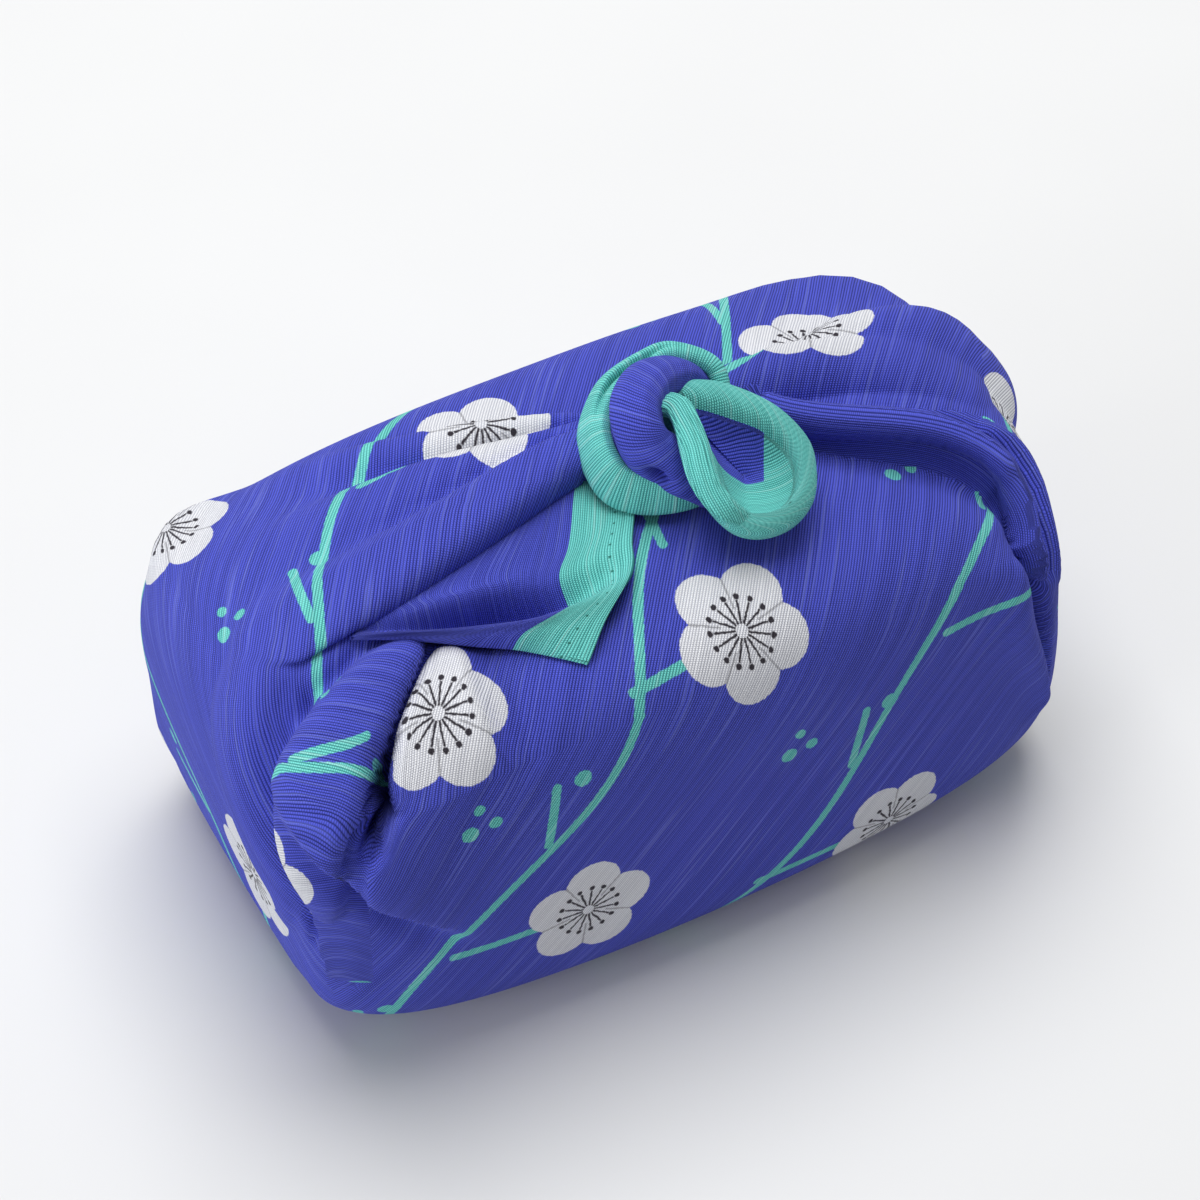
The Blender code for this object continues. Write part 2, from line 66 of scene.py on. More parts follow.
def add_node(tree, kind, **values):
    """A new node with those values on its named inputs."""
    node = tree.nodes.new("ShaderNode" + kind)
    for name, value in values.items():
        put(node.inputs[name], value)
    return node


def blend(tree, share, first, second):
    """Colour that goes from the first to the second by the share."""
    node = add_node(tree, "Mix")
    node.data_type = "RGBA"
    put(node.inputs[0], share)
    put(node.inputs[6], first)
    put(node.inputs[7], second)
    return node.outputs[2]


def cloud(tree, place, scale, detail=2.0):
    """Soft random values, about scale of them to the metre."""
    return add_node(tree, "TexNoise", Scale=scale, Detail=detail, Vector=place).outputs[0]


def finish_of(name, roughness):
    """A new material: its tree and its shader."""
    material = bpy.data.materials.new(name)
    material.use_nodes = True
    shader = material.node_tree.nodes["Principled BSDF"]
    shader.inputs["Roughness"].default_value = roughness
    return material, material.node_tree, shader


def table_top():
    """Square board: corners at plus and minus its half, just below the bundle."""
    low, high, z = -BOARD_HALF, BOARD_HALF, -BOARD_DROP
    corners = [(low, low, z), (high, low, z), (high, high, z), (low, high, z)]
    mesh = bpy.data.meshes.new("table_top")
    mesh.from_pydata(corners, [], [(0, 1, 2, 3)])
    board = bpy.data.objects.new("table_top", mesh)
    bpy.context.scene.collection.objects.link(board)
    material, tree, shader = finish_of("pale matt board", 0.55)
    place = add_node(tree, "TexCoord").outputs["Object"]
    grain = cloud(tree, place, 9.0)
    put(shader.inputs["Base Color"], blend(tree, grain, BOARD_DEEP, BOARD_PALE))
    mesh.materials.append(material)


def soft_light(name, place, aim, size, power, colour):
    """Square area light that looks at the aim."""
    light = bpy.data.lights.new(name, "AREA")
    light.size, light.energy, light.color = size, power, colour
    lamp = bpy.data.objects.new(name, light)
    lamp.location = place
    lamp.rotation_mode = "QUATERNION"
    lamp.rotation_quaternion = (Vector(aim) - Vector(place)).to_track_quat("-Z", "Y")
    bpy.context.scene.collection.objects.link(lamp)


def studio():
    """Pale room and lights, and the camera, which stands off its aim along one straight line."""
    room = bpy.data.worlds.new("room")
    room.use_nodes = True
    background = room.node_tree.nodes["Background"]
    background.inputs["Color"].default_value = ROOM_COLOUR
    background.inputs["Strength"].default_value = ROOM_STRENGTH
    bpy.context.scene.world = room
    for light in LIGHTS:
        soft_light(*light)
    a, up = np.radians(VIEW_ROUND), np.radians(VIEW_UP)
    back = np.array([np.sin(a) * np.cos(up), -np.cos(a) * np.cos(up), np.sin(up)])
    right = np.array([np.cos(a), np.sin(a), 0.0])
    facing = Matrix((right, np.cross(right, -back), back)).transposed().to_4x4()
    lens = bpy.data.cameras.new("camera")
    lens.sensor_width, lens.lens, lens.clip_start = FILM_WIDTH, LENS_WIDTHS * FILM_WIDTH, 0.01
    camera = bpy.data.objects.new("camera", lens)
    camera.matrix_world = Matrix.Translation(Vector(np.array(VIEW_AIM) + back * VIEW_AWAY)) @ facing
    bpy.context.scene.collection.objects.link(camera)
    bpy.context.scene.camera = camera
    bpy.context.scene.view_settings.view_transform = "Standard"


table_top()
studio()


# The wrapped body.
# Ribbed slub cotton drawn round the contents: smooth over the front, in pleats where the left and the
# right corner of the square are gathered towards the knot, tucked at the four upright edges.

MM = 0.001
HALF_LENGTH, FRONT_DEPTH, BACK_DEPTH, HEIGHT = 0.0915, 0.0525, 0.0480, 0.0910
FRONT_BELLY, END_BELLY, CORNER_DROP, CORNER_LIFT = 0.0065, 0.0035, 0.0125, 0.0040
PLAN_POWER, SIDE_POWER, SECTION_HALF = 8.0, 5.0, 0.055     # how boxy the plan and the section are
WIDEST_AT, TOP_FROM, DROP_FROM, LIFT_BELOW = 0.42, 0.30, 0.35, 0.45        # shares of the height
SOLE_CUT, SOLE_CLEAR = 0.0012, 0.012       # flattened below; the folds fade out towards the table
KNOT_PLACE = (0.010, -0.002)
MIDDLE = np.array([0.0029, -0.0055, 0.0])
CLOTH_THICKNESS = 0.0005

# Rows from below to the point under the knot, and columns round the bundle: from, to and how many
ROWS = ((0.0, 0.30, 8), (0.30, 0.58, 52), (0.58, 0.84, 84), (0.84, 1.0, 46))
COLUMNS = ((0.0, 0.05, 10), (0.05, 0.30, 18), (0.30, 0.50, 28),
           (0.50, 0.65, 90), (0.65, 0.87, 32), (0.87, 1.0, 82))

# Pleats, in mm on the flat plan; where they meet, the higher one shows and the crease between is
# sharp: way of the crest, rise at start, middle and end, width left and right of it at start and end,
# crispness of its left and right side (2 soft, 5 crisp) and lean of the crest to the right
PLEATS = (
    ("back pleat", ((-54, 36), (-34, 26.6), (-15, 18.6), (2, 10.6)),
     (0.5, 5.2, 6.5), (5, 2), (8, 4), (2, 2.5), 0),
    ("middle pleat", ((-66, 18), (-40, 16), (-20, 12), (2, 8)),
     (0.5, 6.2, 7.2), (6, 2.2), (18, 4), (2, 2.8), 0),
    ("small pleat", ((-26, 8), (-18, 8.2), (-8, 7.8), (2, 6.2)),
     (0.3, 5.8, 7.6), (2, 1.5), (4, 3), (2, 2), 0),
    ("front roll", ((-77, -2), (-46.5, -1.6), (-22.4, 2.4), (-1.2, 5.6)),
     (2.2, 8.4, 8.4), (9, 2), (12, 6.5), (2, 5), 4.5),
    ("left end swell", ((-80, -8), (-94, -15), (-108, -23), (-126, -36)),
     (2, 3, 1.5), (8, 9), (10, 14), (2, 2.5), 0),
    ("corner roll", ((-95, -56.5), (-89.4, -47), (-76.8, -38.7), (-55.5, -23.5)),
     (3.5, 6.4, 3.2), (22, 10), (5, 2.2), (4, 4), 2.2),
    ("lip of the slit", ((-53.5, -29), (-62.8, -36.8), (-72.8, -46), (-83, -60.5)),
     (1, 4.4, 2.2), (12, 18), (2.2, 2.2), (1.4, 4), 1),
    ("right roll", ((37, -2.6), (55, -15.6), (75, -29.2), (82, -58)),
     (6.5, 5.6, 3.8), (3.2, 4.2), (2.6, 2.4), (2, 4), 3.4),
    ("upper pleat", ((24, 7.5), (42, 8.5), (60, 5.5), (84, -4)),
     (6.5, 6.5, 2), (3, 5), (9, 13), (2, 3), 0),
    ("third pleat", ((50, 12), (66, 11.2), (82, 8.5), (102, 4)),
     (3, 5.2, 6.8), (3, 15), (5, 16), (2, 2), 0),
)
CREASE_SOFT = 0.4      # mm over which two pleats blend where they meet
WAY_POINTS = 25        # points that a way is drawn with

# Hollows and swells that are added on top: way, rise at start, middle and end, width left and right
HOLLOWS = (
    ("under the front roll", ((-81, -23), (-57, -17.5), (-33, -12.5), (-8, -8.5)),
     (-1.5, -4.4, -2), 2.2, 2.8),
    ("slit", ((-52.5, -25.3), (-60, -31.2), (-67, -36.9), (-73, -41.4)), (-2.5, -4, -5), 1.3, 1.6),
    ("mouth of the slit", ((-69, -38.8), (-74.8, -42.8), (-79.6, -48.2), (-83, -54.4)),
     (-3, -17, -20), 1.8, 1.8),
    ("beside the corner roll", ((-79, -21.5), (-93, -28.5), (-108, -37), (-125, -60)),
     (-3.5, -4, -3), 1.8, 4),
    ("lap", ((-93.5, -35), (-91, -55), (-82, -73.5), (-66, -91)), (1.5, 5, 1.2), 18, 1.6),
    ("below the lap", ((-97, -37), (-94.5, -57), (-84.5, -77), (-68, -94)),
     (-0.8, -2.4, -0.6), 1.2, 5),
    ("dent ridge", ((-48, -29), (-50.5, -38), (-52, -45), (-55, -54)), (1.6, 2.2, 0.2), 1.6, 5),
    ("dent", ((-44, -33), (-46.5, -41), (-49, -48), (-53, -57)), (-1, -2, 0), 3.2, 2.6),
    ("under the right roll", ((36, -8.5), (53, -20.6), (69, -31.5), (76.5, -45)),
     (-2.5, -5, -4.5), 2, 7.5),
    ("end valley", ((77.5, -38), (79.5, -52), (82, -68), (102, -92)), (-4, -8.5, -6), 3, 2.8),
    ("end crease", ((71, -19.3), (79.5, -28), (85.2, -40), (86, -58)), (-1.5, -4, -3), 2.9, 2.9),
    ("under the flap", ((-54, -18), (-42.5, -21.8), (-33, -25), (-20, -26.8)),
     (-2.4, -10.4, -5.8), 5.6, 4.6),
    ("outer fold", ((80, -24), (88, -31), (90.5, -43), (91, -60)), (1.5, 2, 0.8), 2.6, 2.6),
    ("near right ridge", ((74, -45), (73, -58), (75, -74), (98, -98)), (2, 2.5, 2.5), 5, 7),
    ("back dent", ((56, 15), (61, 21), (65, 29), (69, 40)), (-1, -1.6, -0.5), 4.5, 4.5),
    ("back right corner", ((56, 46), (78, 38), (92, 20)), (0.5, 2.8, 1.5), 9, 9),
    ("back left corner", ((-66, 52), (-82, 46), (-90, 34)), (1, 4, 1), 5, 6),
    ("left end, low", ((-150, 34), (-152, 0), (-150, -34)), (-3, -3.5, -2), 22, 24),
    ("right end swell", ((104, 12), (109, 0), (109, -12), (105, -22)), (0.5, 3.4, 0.3), 11, 14),
    ("right of the near corner", ((97, -36), (102, -50), (110, -64)), (-1.5, -3.6, -2), 7, 9),
    ("right end, low", ((134, 20), (136, -10), (134, -40)), (-2, -3, -2), 16, 24),
)

# Ways by name, and a line that no fold follows: the right roll's cloth ends on it
WAYS = {name: way for name, way, *_ in (*PLEATS, *HOLLOWS)}
WAYS["top of the right roll"] = ((37, 2), (57, -12.2), (84, -22.5), (97, -57))


def smooth(start, end, value):
    """Rise from 0 to 1 between start and end: 3 t squared less 2 t cubed."""
    t = np.clip((value - start) / (end - start), 0.0, 1.0)
    return t * t * (3.0 - 2.0 * t)


def rounded(angle, power):
    """Rounded square: cosine and sine, each raised to 2 over the power, signs kept."""
    c, s = np.cos(angle), np.sin(angle)
    return np.sign(c) * np.abs(c) ** (2.0 / power), np.sign(s) * np.abs(s) ** (2.0 / power)


def way_along(points, axis):
    """Length from the first point along one direction of a grid."""
    steps = np.linalg.norm(np.diff(points, axis=axis), axis=-1)
    start = np.zeros_like(np.take(steps, [0], axis))
    return np.concatenate([start, np.cumsum(steps, axis)], axis)


PLAN_X, PLAN_Y = rounded(np.linspace(0.0, 2.0 * np.pi, 2001), PLAN_POWER)
PLAN_WAY = way_along(np.stack([PLAN_X * HALF_LENGTH, PLAN_Y * FRONT_DEPTH], -1), 0)
PLAN_SHARE = PLAN_WAY / PLAN_WAY[-1]
SECTION_R, SECTION_Q = rounded(np.linspace(-np.pi / 2.0, np.pi / 2.0, 1201), SIDE_POWER)
SECTION_Z = WIDEST_AT + np.where(SECTION_Q < 0, WIDEST_AT, 1 - WIDEST_AT) * SECTION_Q
SECTION_WAY = way_along(np.stack([SECTION_R * SECTION_HALF, SECTION_Z * HEIGHT], -1), 0)
SECTION_SHARE = SECTION_WAY / SECTION_WAY[-1]
PLAN_REACH = (1.0 - SECTION_SHARE) * SECTION_WAY[-1] / SECTION_HALF


def on_plan(w):
    """Point of the rounded plan at that share of its length."""
    return np.interp(w % 1.0, PLAN_SHARE, PLAN_X), np.interp(w % 1.0, PLAN_SHARE, PLAN_Y)


def body(w, v):
    """Plain body: the rounded plan at w times the section's radius at v, at the section's height;
    the top corners sink and the bottom corners lift by the cube of how far out they are."""
    ux, uy = on_plan(w)
    r = np.interp(v, SECTION_SHARE, SECTION_R)
    z = np.interp(v, SECTION_SHARE, SECTION_Z) * (HEIGHT + SOLE_CUT) - SOLE_CUT
    near_top = smooth(TOP_FROM * HEIGHT, HEIGHT, z) * (1.0 - r)
    depth = np.where(uy < 0, FRONT_DEPTH + FRONT_BELLY * (1.0 - ux ** 2), BACK_DEPTH)
    x = (HALF_LENGTH + END_BELLY * (1.0 - uy ** 2)) * ux * r + KNOT_PLACE[0] * near_top
    y = depth * uy * r + KNOT_PLACE[1] * near_top
    corner = np.abs(ux * uy) ** 3
    z = z + CORNER_LIFT * corner * smooth(LIFT_BELOW * HEIGHT, 0.0, z) * r ** 4
    z = z - CORNER_DROP * corner * smooth(DROP_FROM * HEIGHT, HEIGHT, z) * r ** 2
    return np.stack([x, y, np.maximum(z, 0.0)], -1)


def plan_parts(w, v):
    """Place on the top, way down the side past its edge, and the outward direction of that way."""
    ux, uy = on_plan(w)
    reach = np.interp(v, SECTION_SHARE, PLAN_REACH)
    share = np.minimum(reach, 1.0)
    down = np.maximum(reach - 1.0, 0.0) * SECTION_HALF
    nx = np.sign(ux) * np.abs(ux) ** (PLAN_POWER - 1.0) / HALF_LENGTH
    ny = np.sign(uy) * np.abs(uy) ** (PLAN_POWER - 1.0) / FRONT_DEPTH
    size = np.hypot(nx, ny)
    depth = np.where(uy < 0, FRONT_DEPTH, BACK_DEPTH)
    x = HALF_LENGTH * ux * share + KNOT_PLACE[0] * (1.0 - share)
    y = depth * uy * share + KNOT_PLACE[1] * (1.0 - share)
    return x, y, down, nx / size, ny / size


def flat_plan(w, v):
    """Flat plan: the place on the top, moved outward by the way down the side."""
    x, y, down, nx, ny = plan_parts(w, v)
    return np.stack([x + nx * down, y + ny * down], -1)


def plan_mm(w, v):
    """The x and the y on the flat plan, in mm."""
    return np.moveaxis(flat_plan(w, v), -1, 0) / MM


def on_top(x, y):
    """The (w, v) of a place on the top: the share of the plan is halved down until it fits."""
    low, high = np.full(x.shape, 1e-4), np.full(x.shape, 1.2)
    for _ in range(40):
        share = (low + high) / 2.0
        dx, dy = x - KNOT_PLACE[0] * (1.0 - share), y - KNOT_PLACE[1] * (1.0 - share)
        depth = np.where(dy < 0, FRONT_DEPTH, BACK_DEPTH)
        outside = (dx / HALF_LENGTH) ** PLAN_POWER + (dy / depth) ** PLAN_POWER > share ** PLAN_POWER
        low, high = np.where(outside, share, low), np.where(outside, high, share)
    angle = np.unwrap(np.arctan2(PLAN_Y, PLAN_X))
    w = np.interp(np.arctan2(dy / depth, dx / HALF_LENGTH) % (2.0 * np.pi), angle, PLAN_SHARE)
    return w, np.interp(share, PLAN_REACH[::-1], SECTION_SHARE[::-1])


def change_of(place, w, v, step=1e-3):
    """Change of a place with w and with v, over a small step to both sides."""
    up, down = np.minimum(v + step, 0.9995), np.maximum(v - step, 0.0005)
    return place(w + step, v) - place(w - step, v), place(w, up) - place(w, down)


def unit(arrows):
    """Arrows at length one."""
    return arrows / np.maximum(np.linalg.norm(arrows, axis=-1, keepdims=True), 1e-15)


def slopes(w, v):
    """Change of the body's point with w and with v, and their cross product at length one."""
    along_w, along_v = change_of(body, w, v)
    return along_w, along_v, unit(np.cross(along_w, along_v))


def way_through(points):
    """The one polynomial that meets all the points, as a weighted sum of them."""
    points = np.array(points, float)
    at, u = np.linspace(0.0, 1.0, len(points)), np.linspace(0.0, 1.0, WAY_POINTS)
    line = np.zeros((WAY_POINTS, 2))
    for i, point in enumerate(points):
        others = np.delete(at, i)
        line += np.prod((u[:, None] - others) / (at[i] - others), axis=1)[:, None] * point
    return u, line


def beside(way, x, y):
    """Distance to the nearest stretch of the way, how far that lies on its left (1 left, -1 right,
    between them round the ends), share of the way reached, and the direction of its right-hand side."""
    u, line = way_through(way)
    nearest, turn = np.full(x.shape, 1e9), np.ones(x.shape)
    share, right_x, right_y = np.zeros((3, *x.shape))
    for a, b, ua, ub in zip(line[:-1], line[1:], u[:-1], u[1:]):
        d = b - a
        length = np.hypot(*d)
        t = np.clip(((x - a[0]) * d[0] + (y - a[1]) * d[1]) / length ** 2, 0.0, 1.0)
        off_x, off_y = x - a[0] - t * d[0], y - a[1] - t * d[1]
        off = np.hypot(off_x, off_y)
        closer = off < nearest
        nearest = np.where(closer, off, nearest)
        turn = np.where(closer, (d[0] * off_y - d[1] * off_x) / (length * np.maximum(off, 1e-9)), turn)
        share = np.where(closer, ua + (ub - ua) * t, share)
        right_x = np.where(closer, d[1] / length, right_x)
        right_y = np.where(closer, -d[0] / length, right_y)
    return nearest, turn, share, right_x, right_y


def height_along(share, first, middle, last):
    """Parabola through the rise at the start, the middle and the end of a way."""
    ends = first * (1 - share) * (1 - 2 * share) + last * share * (2 * share - 1)
    return ends + middle * 4 * share * (1 - share)


def fold_shift(x, y):
    """Rise and lean of all folds. A pleat is its height times 1 less (distance over width) to its
    crispness; pleats meet in the logarithm of the sum of their exponentials, which is nearly the
    highest of them. The right side leans out by the root of its height times the distance over width,
    so that it curls over its foot. Hollows are bell-shaped, and simply added."""
    total, lean_x, lean_y = np.zeros((3, *x.shape))
    for _, way, rises, left, right, crisp, lean in PLEATS:
        off, turn, s, right_x, right_y = beside(way, x, y)
        to_left = smooth(-1.0, 1.0, turn)
        width_left = left[0] + (left[1] - left[0]) * s
        width_right = right[0] + (right[1] - right[0]) * s
        t = off / (width_right + (width_left - width_right) * to_left)
        hump = np.maximum(1.0 - t ** (crisp[1] + (crisp[0] - crisp[1]) * to_left), 0.0)
        part = np.exp(height_along(s, *rises) * hump / CREASE_SOFT) - 1.0
        total += part
        bend = part * lean * np.sqrt(hump) * t * np.clip(-turn, 0.0, 1.0)
        lean_x += bend * right_x
        lean_y += bend * right_y
    rise = np.log1p(total) * CREASE_SOFT
    lean_x, lean_y = lean_x / (1.0 + total), lean_y / (1.0 + total)
    for _, way, rises, left, right in HOLLOWS:
        off, turn, s, _, _ = beside(way, x, y)
        width = right + (left - right) * smooth(-1.0, 1.0, turn)
        rise += height_along(s, *rises) * np.exp(-(off / width) ** 2)
    return rise, lean_x, lean_y


def wrapped(w, v):
    """Wrapped body: the plain point, plus the folds' rise along its outward direction, plus their
    lean along the surface."""
    along_w, along_v, outward = slopes(w, v)
    flat_w, flat_v = change_of(flat_plan, w, v)
    xw, yw, xv, yv = flat_w[..., :1], flat_w[..., 1:], flat_v[..., :1], flat_v[..., 1:]
    det = xw * yv - xv * yw
    det = np.where(np.abs(det) < 1e-12, 1e-12, det)
    plan_x = (along_w * yv - along_v * yw) / det
    plan_y = (along_v * xw - along_w * xv) / det
    rise, lean_x, lean_y = [value[..., None] * MM for value in fold_shift(*plan_mm(w, v))]
    plain = body(w, v)
    off_the_sole = smooth(0.0, SOLE_CLEAR, plain[..., 2])[..., None]
    return plain + (outward * rise + plan_x * lean_x + plan_y * lean_y) * off_the_sole


def spread(stations):
    """Values from start to end in even steps, each stretch with its own count."""
    return np.concatenate([np.linspace(start, end, count + 1)[:-1] for start, end, count in stations])


def blurred(field):
    """Each value moved a third of the way to the mean of its neighbours on the grid."""
    around = np.roll(field, 1, 1) + np.roll(field, -1, 1)
    around[1:-1] += field[2:] + field[:-2]
    around[[0, -1]] *= 2.0
    return field + 0.33 * (around / 4.0 - field)


# The flat charts are eased on every fourth row and column, each edge by a share of what it is too long
# or too short, counted up to a limit
COARSE, EASE_ROUNDS, EASE_SHARE, EASE_LIMIT, SPREAD_ROUNDS = 4, 160, 0.11, 0.5, 8


def cloth_places(points, charts, panel):
    """Cloth coordinates of each grid point. They start from the panel's flat chart. On a coarse grid
    both ends of every edge move along it, again and again, until it is about as long flat as it is in
    place; the movement found is then spread evenly over the fine grid."""
    rows, columns = points.shape[:2]
    coarse = np.minimum(np.arange(0, rows + COARSE - 1, COARSE), rows - 1)
    near, sides = points[coarse][:, ::COARSE], panel[coarse][:, ::COARSE]
    places = [chart[coarse][:, ::COARSE] for chart in charts]
    shift = np.zeros(near.shape[:2] + (2,))
    springs = []
    for di, dj in ((0, 1), (1, 0), (1, 1), (1, -1)):
        a, b = slice(0, len(near) - di), slice(di, len(near))
        long = np.linalg.norm(np.roll(near, -dj, 1)[b] - near[a], axis=-1)
        same = (np.roll(sides, -dj, 1)[b] == sides[a])
        start = np.zeros(long.shape + (2,))
        for k, place in enumerate(places):
            start = np.where((sides[a] == k)[..., None], np.roll(place, -dj, 1)[b] - place[a], start)
        springs.append((dj, a, b, start, long, same))
    for _ in range(EASE_ROUNDS):
        pull = np.zeros(shift.shape)
        for dj, a, b, start, long, same in springs:
            now = start + np.roll(shift, -dj, 1)[b] - shift[a]
            size = np.maximum(np.linalg.norm(now, axis=-1), 1e-7)
            amiss = same * np.clip(long / size - 1.0, -EASE_LIMIT, EASE_LIMIT)
            step = now * (amiss * EASE_SHARE)[..., None]
            pull[a] -= step
            pull[b] += np.roll(step, dj, 1)
        shift = blurred(shift + pull)
    row = np.interp(np.arange(rows), coarse, np.arange(len(coarse)))
    r, t = np.minimum(row.astype(int), len(coarse) - 2), (row % 1.0)[:, None, None]
    t[-1] = 1.0
    fine = shift[r] * (1.0 - t) + shift[r + 1] * t
    c, u = np.arange(columns) // COARSE, (np.arange(columns) % COARSE / COARSE)[None, :, None]
    fine = fine[:, c] * (1.0 - u) + fine[:, (c + 1) % shift.shape[1]] * u
    for _ in range(SPREAD_ROUNDS):
        fine = blurred(fine)
    return [chart + fine for chart in charts]


def grid_faces(rows, columns, closed):
    """Four corners of each face of a grid, whose columns may close round."""
    index = np.arange(rows * columns).reshape(rows, columns)
    if closed:
        index = np.concatenate([index, index[:, :1]], 1)
    return np.stack([index[:-1, :-1], index[:-1, 1:], index[1:, 1:], index[1:, :-1]], -1).reshape(-1, 4)


def closed_grid(points):
    """Points and faces of a grid that closes round, its first and its last row each drawn to a middle
    point; the two middle points come after the grid's own."""
    rows, columns = points.shape[:2]
    low, top = np.arange(columns), (rows - 1) * columns + np.arange(columns)
    ends = np.concatenate([points.reshape(-1, 3), [points[0].mean(0)], [points[-1].mean(0)]])
    below = np.stack([np.full(columns, rows * columns), np.roll(low, -1), low], -1)
    above = np.stack([np.full(columns, rows * columns + 1), top, np.roll(top, -1)], -1)
    return ends, [*grid_faces(rows, columns, True), *below, *above]


def cloth_piece(name, points, faces, cloth, hem=None):
    """Mesh of a piece from its points and faces, with its cloth coordinates and its distance from the
    hem's edge for each face corner; it is moved so that the bundle's middle is on the origin."""
    mesh = bpy.data.meshes.new(name)
    mesh.from_pydata((points - MIDDLE).tolist(), [], [list(face) for face in faces])
    for layer, values in (("cloth", cloth), ("hem", hem)):
        if values is not None:
            flat = np.concatenate([np.asarray(value, float).reshape(-1) for value in values])
            mesh.uv_layers.new(name=layer).data.foreach_set("uv", flat)
    mesh.shade_smooth()
    mesh.update()
    piece = bpy.data.objects.new(name, mesh)
    bpy.context.scene.collection.objects.link(piece)
    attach(piece, "root")
    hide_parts("wrapped_bundle")
    return piece


def thicken(piece, thickness):
    """Give the surface the thickness of cloth, all of it inwards."""
    solid = piece.modifiers.new("cloth thickness", "SOLIDIFY")
    solid.thickness, solid.offset, solid.use_even_offset = thickness, -1.0, False


def new_group(name, takes, makes):
    """Empty node group that takes a place and numbers, and makes numbers: its tree and both ends."""
    tree = bpy.data.node_groups.new(name, "ShaderNodeTree")
    tree.interface.new_socket(name="Place", in_out="INPUT", socket_type="NodeSocketVector")
    for way, sockets in (("INPUT", takes), ("OUTPUT", makes)):
        for socket in sockets:
            tree.interface.new_socket(name=socket, in_out=way, socket_type="NodeSocketFloat")
    return tree, tree.nodes.new("NodeGroupInput"), tree.nodes.new("NodeGroupOutput")


def work(tree, operation, *values, kind="Math"):
    """One sum of the node tree: the operation on one, two or three values."""
    node = add_node(tree, kind)
    node.operation = operation
    for socket, value in zip(node.inputs, values):
        put(socket, value)
    return node.outputs[0]


def sums(tree):
    """Sums of the node tree as functions: plus, minus, times, over, times and then plus, the larger of
    two, the whole number below, the sine, and the size without its sign."""
    kinds = ("ADD", "SUBTRACT", "MULTIPLY", "DIVIDE", "MULTIPLY_ADD",
             "MAXIMUM", "FLOOR", "SINE", "ABSOLUTE")
    return [lambda *values, kind=kind: work(tree, kind, *values) for kind in kinds]


def parts_of(tree, place):
    """The x and the y of a place."""
    apart = add_node(tree, "SeparateXYZ", Vector=place)
    return apart.outputs[0], apart.outputs[1]


RIB_PITCH, YARN_PITCH, RIB_WAVER = 0.00056, 0.00042, 0.0002
YARN_SHARE = 0.62                      # how deep the yarns break a rib
SLUB_STREAKS = (1350.0, 28.0, 0.0)     # streaks to the metre across the ribs and along them
SLUB_FROM, SLUB_GAIN, SLUB_HEIGHT = 0.575, 7.0, 0.5
# Tone: random from rib to rib, plus painted shade that darkens the gaps between ribs and yarns by the
# weave's height, and an offset
TONE_BY_RIB, PAINTED_SHADE_BY_HEIGHT, TONE_LEAST = 0.20, 1.15, -0.08


def slub_weave():
    """Ribbed plain weave. Ribs are the size of a sine of x over their pitch, broken by yarns along y
    that step half a pitch from rib to rib; noise drawn out along the ribs gives thick slub yarns. The
    tone changes at random from rib to rib, and is lower where the weave is low: painted shade in the
    gaps between the ribs and the yarns."""
    tree, given, made = new_group("slub weave", ("Rib", "Yarn"), ("Height", "Tone and painted shade", "Slub"))
    plus, minus, times, over, times_plus, _, floor, sine, size = sums(tree)
    place = given.outputs["Place"]
    across, along = parts_of(tree, place)
    waver = times(minus(cloud(tree, place, 45.0), 0.5), RIB_WAVER)
    x = over(plus(across, waver), given.outputs["Rib"])
    rib = size(sine(times(x, np.pi)))
    number = floor(x)
    y = plus(over(along, given.outputs["Yarn"]), times(number, 0.5))
    yarn = size(sine(times(y, np.pi)))
    each = add_node(tree, "TexWhiteNoise")
    each.noise_dimensions = "1D"
    put(each.inputs["W"], number)
    drawn = work(tree, "MULTIPLY", place, SLUB_STREAKS, kind="VectorMath")
    slub = times(minus(cloud(tree, drawn, 1.0, 1.0), SLUB_FROM), SLUB_GAIN)
    slub.node.use_clamp = True
    height = times(rib, times_plus(yarn, YARN_SHARE, 1.0 - YARN_SHARE))
    put(made.inputs["Height"], times_plus(slub, SLUB_HEIGHT, height))
    # Painted shade: the tone falls where the weave is low, between the ribs and the yarns; the part by
    # rib is random
    tone_and_shade = times_plus(each.outputs[0], TONE_BY_RIB, times_plus(height, PAINTED_SHADE_BY_HEIGHT, TONE_LEAST))
    tone_and_shade.node.use_clamp = True
    put(made.inputs["Tone and painted shade"], tone_and_shade)
    put(made.inputs["Slub"], slub)
    return tree


# The print, in metres: the cell of the repeat, the blossom's place in it, moved by lot from the first
# number on by the second, and petals and stamens as shares of its radius
CELL, BLOSSOM_X, BLOSSOM_Y, RADIUS = (0.064, 0.070), (-0.004, 0.012), (-0.009, 0.018), 0.0142
PETAL_AT, PETAL_SIZE, HEART_SIZE, PETAL_GAP = 0.57, 0.44, 0.45, 0.30
STAMENS, STAMEN_END, TIP_AT = 15, 0.42, 0.47
GAP_HALF, STAMEN_HALF, STAMEN_START, TIP_SIZE = 0.00022, 0.00024, 0.0013, 0.00062
GAP_DARKNESS = 0.45
TWIG_X, TWIG_HALF, TWIG_SWAY, TWIG_BENDS, SHOOT_HALF = -0.0215, 0.00105, 0.0035, 62.0, 0.0010
SHOOT_Y, BUD_SHOOT_Y, BUD_SHOOT_END = -0.022, 0.012, (-0.0290, 0.0255)
BUDS = ((-0.0245, 0.0290, 0.0019), (0.0225, -0.0240, 0.0018),
        (0.0262, -0.0200, 0.0014), (0.0212, -0.0185, 0.0012))


